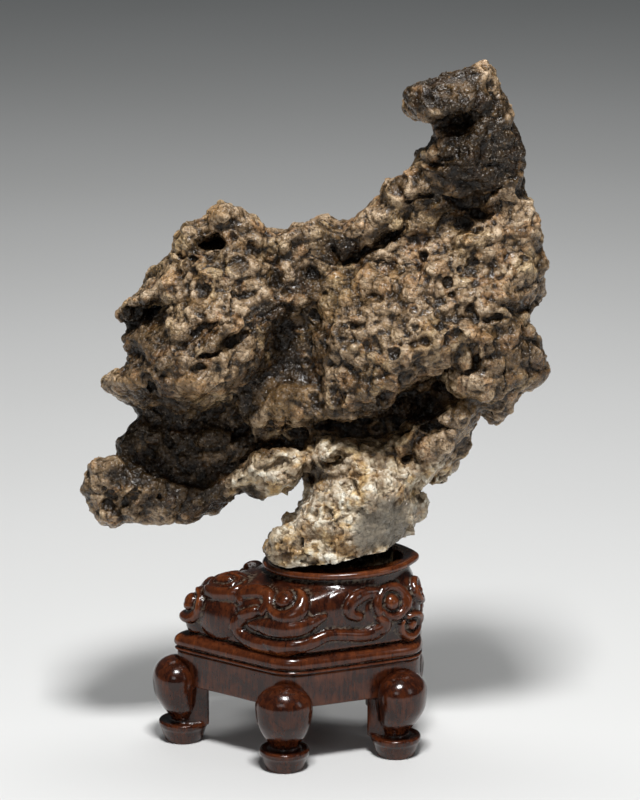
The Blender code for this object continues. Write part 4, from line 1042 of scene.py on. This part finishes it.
def make_stand():
    bearings = np.linspace(0.0, 2 * math.pi, PLAN_STEPS, endpoint=False)
    neck_half = (LIP_HALF[0] - LIP_ROLL, LIP_HALF[1] - LIP_ROLL)
    neck = oval_ring(bearings, neck_half)
    plan = plan_ring(bearings)
    levels = [(plan_ring(bearings, grow), APRON_Z + rise) for grow, rise in APRON_PROFILE]
    heights = np.linspace(MOUND_FOOT_Z, MOUND_WALL[-1][1], MOUND_RINGS)
    shares = np.interp(heights, *np.transpose(MOUND_WALL)[::-1])
    average = np.full(WALL_SMOOTHING, 1 / WALL_SMOOTHING)
    shares = np.convolve(np.pad(shares, WALL_SMOOTHING // 2, mode="edge"), average, "valid")
    levels += [(plan * (1.0 - s) + neck * s, z) for s, z in zip(shares, heights)]
    flare = np.exp(-(np.arctan2(np.sin(bearings), np.cos(bearings)) / LIP_FLARE_TURN) ** 2)
    for out, up in LIP_PROFILE:
        ring = oval_ring(bearings, (LIP_HALF[0] + out, LIP_HALF[1] + out))
        fade = np.clip((out + LIP_FLARE_FADE) / LIP_FLARE_FADE, 0.0, 1.0)
        ring[:, 0] += LIP_FLARE * flare * fade
        levels.append((ring, LIP_Z + up))
    for narrow, z in SOCKET_WALL:
        half = (SOCKET_HALF[0] - narrow, SOCKET_HALF[1] - narrow)
        levels.append((oval_ring(bearings, half, SOCKET_CENTRE), z))
    levels.append((oval_ring(bearings, SOCKET_FLOOR_HALF, SOCKET_CENTRE), SOCKET_Z))
    rings = [lip_tilt(np.column_stack([ring, np.full(len(ring), z)])) for ring, z in levels]
    stand = new_object("carved_stand", loft(rings))
    mesh = stand.data
    carved(mesh)
    grain = soft_noise(points_of(mesh), GRAIN_SIZE, 51.0)[:, None]
    set_points(mesh, points_of(mesh) + vertex_normals(mesh) * grain * GRAIN_RISE)
    store(mesh, "nook", standing_out(mesh, *WOOD_RELIEF))
    finished(stand, "stand", wood_material())


# ---------------------------------------------------------------- the legs
def turned(profile):
    """A solid of revolution from (radius, height) points listed from the top down."""
    mesh = bpy.data.meshes.new("Turned")
    body = bmesh.new()
    corners = [body.verts.new((radius, 0.0, height)) for radius, height in profile]
    for upper, lower in zip(corners, corners[1:]):
        body.edges.new((upper, lower))
    body.to_mesh(mesh)
    body.free()
    obj = new_object("Turned", mesh)
    screw = obj.modifiers.new("Turn", "SCREW")
    screw.steps = screw.render_steps = LEG_TURN
    screw.use_merge_vertices = True
    screw.merge_threshold = 0.0001
    obj.data = baked(obj)
    obj.modifiers.clear()
    return obj


def make_knee():
    """The knee: round in front, full at the top, and drawn down into the ankle."""
    profile = [(0.0, KNEE_Z + KNEE_RISE)]
    for turn in KNEE_TURNS:
        angle = math.radians(turn)
        height = KNEE_Z + (KNEE_RISE if turn > 0 else KNEE_FALL) * math.sin(angle)
        profile.append((KNEE_RADIUS * math.cos(angle), height))
    profile += [(ANKLE_RADIUS, PAD_TOP_Z + 1.0), (ANKLE_RADIUS + 2.4, PAD_TOP_Z - 2.0)]
    profile += [(0.0, PAD_TOP_Z - 2.0)]
    knee = turned(profile)
    points = points_of(knee.data)
    points[:, 0] *= KNEE_DEPTH / KNEE_RADIUS
    points[:, 0] += KNEE_OUT * np.clip((points[:, 2] - PAD_TOP_Z) / 20.0, 0.0, 1.0)
    set_points(knee.data, points)
    return knee


def make_pad():
    """The pad: a shallow dish on top, a narrow band, then a taper to the sole."""
    top = PAD_TOP_Z
    return turned([
        (0.0, top - 0.8), (ANKLE_RADIUS + 2.5, top - 0.8), (PAD_TOP_RADIUS - 2.6, top - 0.2),
        (PAD_TOP_RADIUS - 1.4, top), (PAD_TOP_RADIUS - 0.4, top - 0.5),
        (PAD_TOP_RADIUS, top - 1.5), (PAD_TOP_RADIUS - 0.2, top - 4.0),
        (PAD_TOP_RADIUS - 0.9, top - 4.9), (PAD_TOP_RADIUS - 1.4, top - 5.4),
        (PAD_FOOT_RADIUS + 0.4, FLOOR_Z + 0.6), (PAD_FOOT_RADIUS, FLOOR_Z), (0.0, FLOOR_Z),
    ])


def make_post():
    """The flat post behind the knee, up to the underside of the apron."""
    bpy.ops.mesh.primitive_cube_add(size=1.0)
    post = bpy.context.active_object
    top = APRON_Z - FIT_GAP
    height = top - PAD_TOP_Z + 2.0
    post.data.transform(Matrix.Diagonal((POST_DEPTH, POST_WIDTH, height, 1.0)))
    post.data.transform(Matrix.Translation((-POST_DEPTH / 2, 0.0, top - height / 2)))
    return post


def make_legs():
    bearings = np.linspace(0.0, 2 * math.pi, CLEARANCE_STEPS, endpoint=False)
    ring = plan_ring(bearings, FIT_GAP + KNEE_CLEARANCE)
    clear = [
        np.column_stack([ring, np.full(CLEARANCE_STEPS, height)])
        for height in (APRON_Z - FIT_GAP, BEAD_Z + 10.0)
    ]
    apron = new_object("Apron clearance", loft(clear))
    wood = wood_material()
    for name, (foot, facing) in LEGS.items():
        leg = joined([make_knee(), make_post(), make_pad()])
        voxel_remesh(leg, LEG_VOXEL)
        ends = edge_ends(leg.data)
        points = points_of(leg.data)
        firm = np.clip((points[:, 2] - FLOOR_Z) / SOLE_BAND, 0.0, 1.0)[:, None]
        set_points(leg.data, points + (relaxed(points, ends, LEG_EASING) - points) * firm)
        leg.data.transform(Matrix.Rotation(math.radians(facing), 4, "Z"))
        leg.data.transform(Matrix.Translation((*foot, 0.0)))
        cut = leg.modifiers.new("Cut", "BOOLEAN")
        cut.operation = "DIFFERENCE"
        cut.solver = "EXACT"
        cut.object = apron
        leg.data = baked(leg)
        leg.modifiers.clear()
        leg.name = name + "_wood"
        store(leg.data, "nook", standing_out(leg.data, *WOOD_RELIEF))
        finished(leg, name, wood)
    bpy.data.objects.remove(apron)


# ---------------------------------------------------------------- materials
class Graph:
    """A material's node tree, with short ways to add nodes and join them."""

    def __init__(self, name):
        self.material = bpy.data.materials.new(name)
        self.material.use_nodes = True
        self.tree = self.material.node_tree
        self.shader = self.tree.nodes["Principled BSDF"]
        self.place = self.add("ShaderNodeTexCoord").outputs["Object"]

    def add(self, kind, settings=None, **links):
        node = self.tree.nodes.new(kind)
        for key, value in (settings or {}).items():
            setattr(node, key, value)
        for key, value in links.items():
            self.join(value, node.inputs[key.replace("_", " ")])
        return node

    def join(self, value, socket):
        if isinstance(value, bpy.types.NodeSocket):
            self.tree.links.new(value, socket)
        else:
            socket.default_value = value

    def noise(self, size, detail=3.0, rough=0.55, place=None, output="Fac"):
        """Noise whose features are about size millimetres."""
        node = self.add("ShaderNodeTexNoise", Vector=place or self.place,
                        Scale=1000.0 / size, Detail=detail, Roughness=rough)
        return node.outputs[output]

    def cells(self, size, feature="F1", place=None, output="Distance"):
        node = self.add("ShaderNodeTexVoronoi", {"feature": feature},
                        Vector=place or self.place, Scale=1000.0 / size)
        return node.outputs[output]

    def warped(self, size, reach):
        """The object's own coordinates, pushed about by up to reach millimetres."""
        push = self.noise(size, 2.0, output="Color")
        centred = self.add("ShaderNodeVectorMath", {"operation": "SUBTRACT"})
        moved = self.add("ShaderNodeVectorMath", {"operation": "MULTIPLY_ADD"})
        for value, socket in zip((push, (0.5, 0.5, 0.5)), centred.inputs):
            self.join(value, socket)
        for value, socket in zip(
            (centred.outputs[0], (reach * MM * 2,) * 3, self.place), moved.inputs,
        ):
            self.join(value, socket)
        return moved.outputs[0]

    def attribute(self, name):
        return self.add("ShaderNodeAttribute", {"attribute_name": name}).outputs["Fac"]

    def maths(self, operation, first, second=0.0, third=0.0):
        node = self.add("ShaderNodeMath", {"operation": operation})
        for value, socket in zip((first, second, third), node.inputs):
            self.join(value, socket)
        return node.outputs[0]

    def span(self, value, low, high, out_low=0.0, out_high=1.0):
        """Maps low..high to out_low..out_high, clamped."""
        node = self.add("ShaderNodeMapRange", {"clamp": True})
        for given, socket in zip((value, low, high, out_low, out_high), node.inputs):
            self.join(given, socket)
        return node.outputs[0]

    def ramp(self, value, stops):
        node = self.add("ShaderNodeValToRGB", Fac=value)
        elements = node.color_ramp.elements
        while len(elements) < len(stops):
            elements.new(0.5)
        for element, (position, colour) in zip(elements, stops):
            element.position = position
            element.color = (*colour, 1.0)
        return node.outputs["Color"]

    def mix(self, share, first, second, blend="MIX"):
        node = self.add("ShaderNodeMix", {"data_type": "RGBA", "blend_type": blend})
        for value, socket in zip((share, first, second), (node.inputs[0], *node.inputs[6:8])):
            self.join(value, socket)
        return node.outputs[2]

    def bump(self, height, depth, under=None):
        """Relief of depth millimetres, laid over another bump."""
        links = {"Height": height, "Distance": abs(depth) * MM, "Strength": 1.0}
        if under:
            links["Normal"] = under
        return self.add("ShaderNodeBump", {"invert": depth < 0}, **links).outputs["Normal"]


def stone_material():
    """Olive-brown, bubbly crust with painted shade in its creases and hollows and painted light on
    its raised bubble tops; pale and granular at the neck.
    """
    g = Graph("Weathered stone")
    fine = g.attribute("fine")
    broad = g.attribute("broad")
    neck = g.attribute("neck")
    patina_shade = g.attribute("patina_shade")
    bubble = g.attribute("bubble")
    bent = g.warped(6.0, 1.3)
    bead = g.cells(4.0, place=bent)
    grit = g.noise(2.4, 2.5, 0.62)
    blotch = g.noise(17.0, 3.0)
    lot = g.add("ShaderNodeSeparateColor", Color=g.cells(9.0, place=bent, output="Color"))

    # Painted shade: the tone darkens in the creases between bubbles, in fine and broad hollows,
    # along thin veins and in small pits; less so on the neck.
    crevice_shade = g.span(bubble, 0.16, 0.48, 0.56, 1.0)
    crevice_shade = g.maths("MULTIPLY", crevice_shade, g.span(fine, -2.4, -0.4, 0.40, 1.0))
    crevice_shade = g.maths("MULTIPLY", crevice_shade, g.span(broad, -2.4, -0.3, 0.50, 1.0))
    vein = g.maths("ABSOLUTE", g.maths("SUBTRACT", g.noise(8.0, 3.0, 0.6), 0.5))
    crevice_shade = g.maths("MULTIPLY", crevice_shade, g.span(vein, 0.0, 0.022, 0.55, 1.0))
    pits = g.span(g.noise(2.2, 1.0), 0.32, 0.38, 0.6, 1.0)
    crevice_shade = g.maths("MULTIPLY", crevice_shade, pits)
    bare = g.maths("MULTIPLY", neck, 0.72)
    crevice_shade = g.maths("ADD", crevice_shade, g.maths("MULTIPLY", g.maths("SUBTRACT", 1.0, crevice_shade), bare))
    # Painted light: raised rims and bubble tops are made lighter.
    tone = g.maths("MULTIPLY_ADD", fine, 0.06, 0.515)
    tone = g.maths("MULTIPLY_ADD", bubble, 0.09, tone)
    tone = g.maths("MULTIPLY_ADD", neck, 0.15, tone)
    for part, weight in ((grit, 0.54), (blotch, 0.32), (lot.outputs[0], 0.12)):
        tone = g.maths("MULTIPLY_ADD", g.maths("SUBTRACT", part, 0.5), weight, tone)
    tone = g.maths("MULTIPLY", tone, crevice_shade)
    # Painted shade and patina darken the tone inside their patches.
    tone = g.maths("MULTIPLY", tone, g.span(patina_shade, 0.0, 1.0, 1.0, 0.21))
    brown = g.ramp(tone, BROWN_STONE)
    pale = g.ramp(tone, PALE_STONE)
    rust = g.span(lot.outputs[1], 0.72, 0.85, 0.0, 0.6)
    brown = g.mix(rust, brown, RUST, "MULTIPLY")
    olive = g.span(g.noise(38.0, 2.0), 0.50, 0.62, 0.0, 0.35)
    brown = g.mix(olive, brown, OLIVE, "MULTIPLY")
    slate = g.span(g.noise(22.0, 3.0, 0.55), 0.64, 0.72, 0.0, 0.75)
    brown = g.mix(slate, brown, SLATE, "MULTIPLY")
    ochre = g.span(g.noise(8.0, 2.0, 0.5), 0.66, 0.72, 0.0, 0.5)
    ochre = g.maths("MAXIMUM", ochre, g.attribute("tan"))
    ochre = g.maths("MULTIPLY", ochre, crevice_shade)
    brown = g.mix(g.maths("MULTIPLY", ochre, 0.8), brown, OCHRE)
    gold = g.span(g.noise(14.0, 3.0, 0.6), 0.50, 0.62, 0.0, 0.9)
    pale = g.mix(gold, pale, GOLD, "MULTIPLY")
    umber = g.span(g.noise(16.0, 4.0, 0.65), 0.44, 0.54, 0.75, 0.0)
    pale = g.mix(umber, pale, UMBER, "MULTIPLY")
    # Painted glints: small pale specks, kept out of the painted shade.
    painted_glint = g.span(g.noise(1.7, 1.0), 0.64, 0.70, 0.0, 0.55)
    brown = g.mix(g.maths("MULTIPLY", painted_glint, crevice_shade), brown, GLINT_SPECK)
    colour = g.mix(neck, brown, pale)
    ashen = g.mix(g.noise(3.0, 3.0, 0.7), DARK_ASH, PALE_ASH)
    colour = g.mix(g.maths("MULTIPLY", g.attribute("grey"), 0.85), colour, ashen)
    g.join(colour, g.shader.inputs["Base Color"])
    g.join(g.span(g.noise(3.0, 2.0), 0.35, 0.65, 0.17, 0.40), g.shader.inputs["Roughness"])
    g.shader.inputs["Specular IOR Level"].default_value = 0.36
    g.shader.inputs["Coat Weight"].default_value = 0.08
    g.shader.inputs["Coat Roughness"].default_value = 0.10
    small = g.maths("MULTIPLY", bead, bead)
    normal = g.bump(g.noise(5.5, 1.0), 2.2)
    normal = g.bump(small, -1.8, normal)
    normal = g.bump(grit, 1.5, normal)
    g.join(normal, g.shader.inputs["Normal"])
    return g.material


def wood_material():
    """Red-brown polished wood with dark pores, dust in the nooks of the carving, and painted shade
    that darkens those nooks.
    """
    g = Graph("Dark polished hardwood")
    nook = g.attribute("nook")
    stretch = g.add("ShaderNodeMapping", Vector=g.place, Scale=(1.0, 1.0, 0.14))
    grain = g.noise(2.6, 4.0, 0.6, stretch.outputs["Vector"])
    pores = g.noise(0.9, 2.0, 0.5, stretch.outputs["Vector"])
    blotch = g.noise(11.0, 4.0, 0.6)
    tone = g.maths("MULTIPLY_ADD", g.maths("SUBTRACT", grain, 0.5), 0.60, 0.39)
    tone = g.maths("MULTIPLY_ADD", g.maths("SUBTRACT", blotch, 0.5), 0.65, tone)
    # Painted shade: the carving's raised parts a little lighter, its nooks darker.
    tone = g.maths("MULTIPLY_ADD", nook, 0.12, tone)
    colour = g.ramp(tone, RED_WOOD)
    dust = g.span(nook, -1.1, -0.35, 1.0, 0.0)
    dust = g.maths("MULTIPLY", dust, g.span(g.noise(3.0, 3.0), 0.44, 0.64))
    colour = g.mix(g.maths("MULTIPLY", dust, 0.45), colour, DUST)
    dark = g.span(pores, 0.58, 0.70)
    colour = g.mix(g.maths("MULTIPLY", dark, 0.75), colour, PORE)
    g.join(colour, g.shader.inputs["Base Color"])
    rough = g.span(g.noise(5.0, 3.0), 0.3, 0.7, 0.13, 0.22)
    g.join(g.maths("MULTIPLY_ADD", dust, 0.35, rough), g.shader.inputs["Roughness"])
    g.shader.inputs["Specular IOR Level"].default_value = 0.42
    g.shader.inputs["Coat Weight"].default_value = 0.10
    g.shader.inputs["Coat Roughness"].default_value = 0.06
    normal = g.bump(pores, 0.06)
    normal = g.bump(g.noise(14.0, 2.0), 0.45, normal)
    g.join(normal, g.shader.inputs["Normal"])
    return g.material


def floor_material():
    g = Graph("Pale paper")
    tone = g.noise(900.0, 2.0)
    g.join(g.ramp(tone, PAPER), g.shader.inputs["Base Color"])
    g.shader.inputs["Roughness"].default_value = 0.75
    g.shader.inputs["Specular IOR Level"].default_value = 0.2
    return g.material


# ---------------------------------------------------------------- the studio
def aimed(obj, place, target):
    obj.location = place
    way = Vector(target) - Vector(place)
    obj.rotation_euler = way.to_track_quat("-Z", "Y").to_euler()
    bpy.context.scene.collection.objects.link(obj)


def softbox(name, place, target, size, power):
    lamp = bpy.data.lights.new(name, "AREA")
    lamp.shape = "RECTANGLE"
    lamp.size, lamp.size_y = size
    lamp.energy = power
    aimed(bpy.data.objects.new(name, lamp), place, target)


def make_studio():
    bpy.ops.mesh.primitive_plane_add(size=FLOOR_SIZE)
    floor = bpy.context.active_object
    floor.name = "floor"
    floor.data.materials.append(floor_material())
    for name, place, target, size, power in SOFTBOXES:
        softbox(name, place, target, size, power)
    world = bpy.data.worlds.new("Studio")
    world.use_nodes = True
    room = world.node_tree.nodes["Background"]
    room.inputs["Color"].default_value = ROOM_TINT
    room.inputs["Strength"].default_value = ROOM_LIGHT
    bpy.context.scene.world = world
    camera = bpy.data.cameras.new("Camera")
    camera.lens = LENS
    camera.sensor_width = SENSOR
    camera.clip_end = 60.0
    view = bpy.data.objects.new("Camera", camera)
    aimed(view, EYE, AIM)
    bpy.context.scene.camera = view
    bpy.context.scene.view_settings.view_transform = "Standard"


# ---------------------------------------------------------------- the scene
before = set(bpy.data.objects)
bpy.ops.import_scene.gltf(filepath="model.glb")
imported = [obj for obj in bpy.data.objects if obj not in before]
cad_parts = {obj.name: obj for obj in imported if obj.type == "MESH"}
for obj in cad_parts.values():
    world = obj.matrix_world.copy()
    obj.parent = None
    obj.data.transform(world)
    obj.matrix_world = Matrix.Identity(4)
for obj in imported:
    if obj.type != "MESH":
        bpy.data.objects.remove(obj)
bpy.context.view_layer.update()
make_stone()
make_stand()
make_legs()
make_studio()
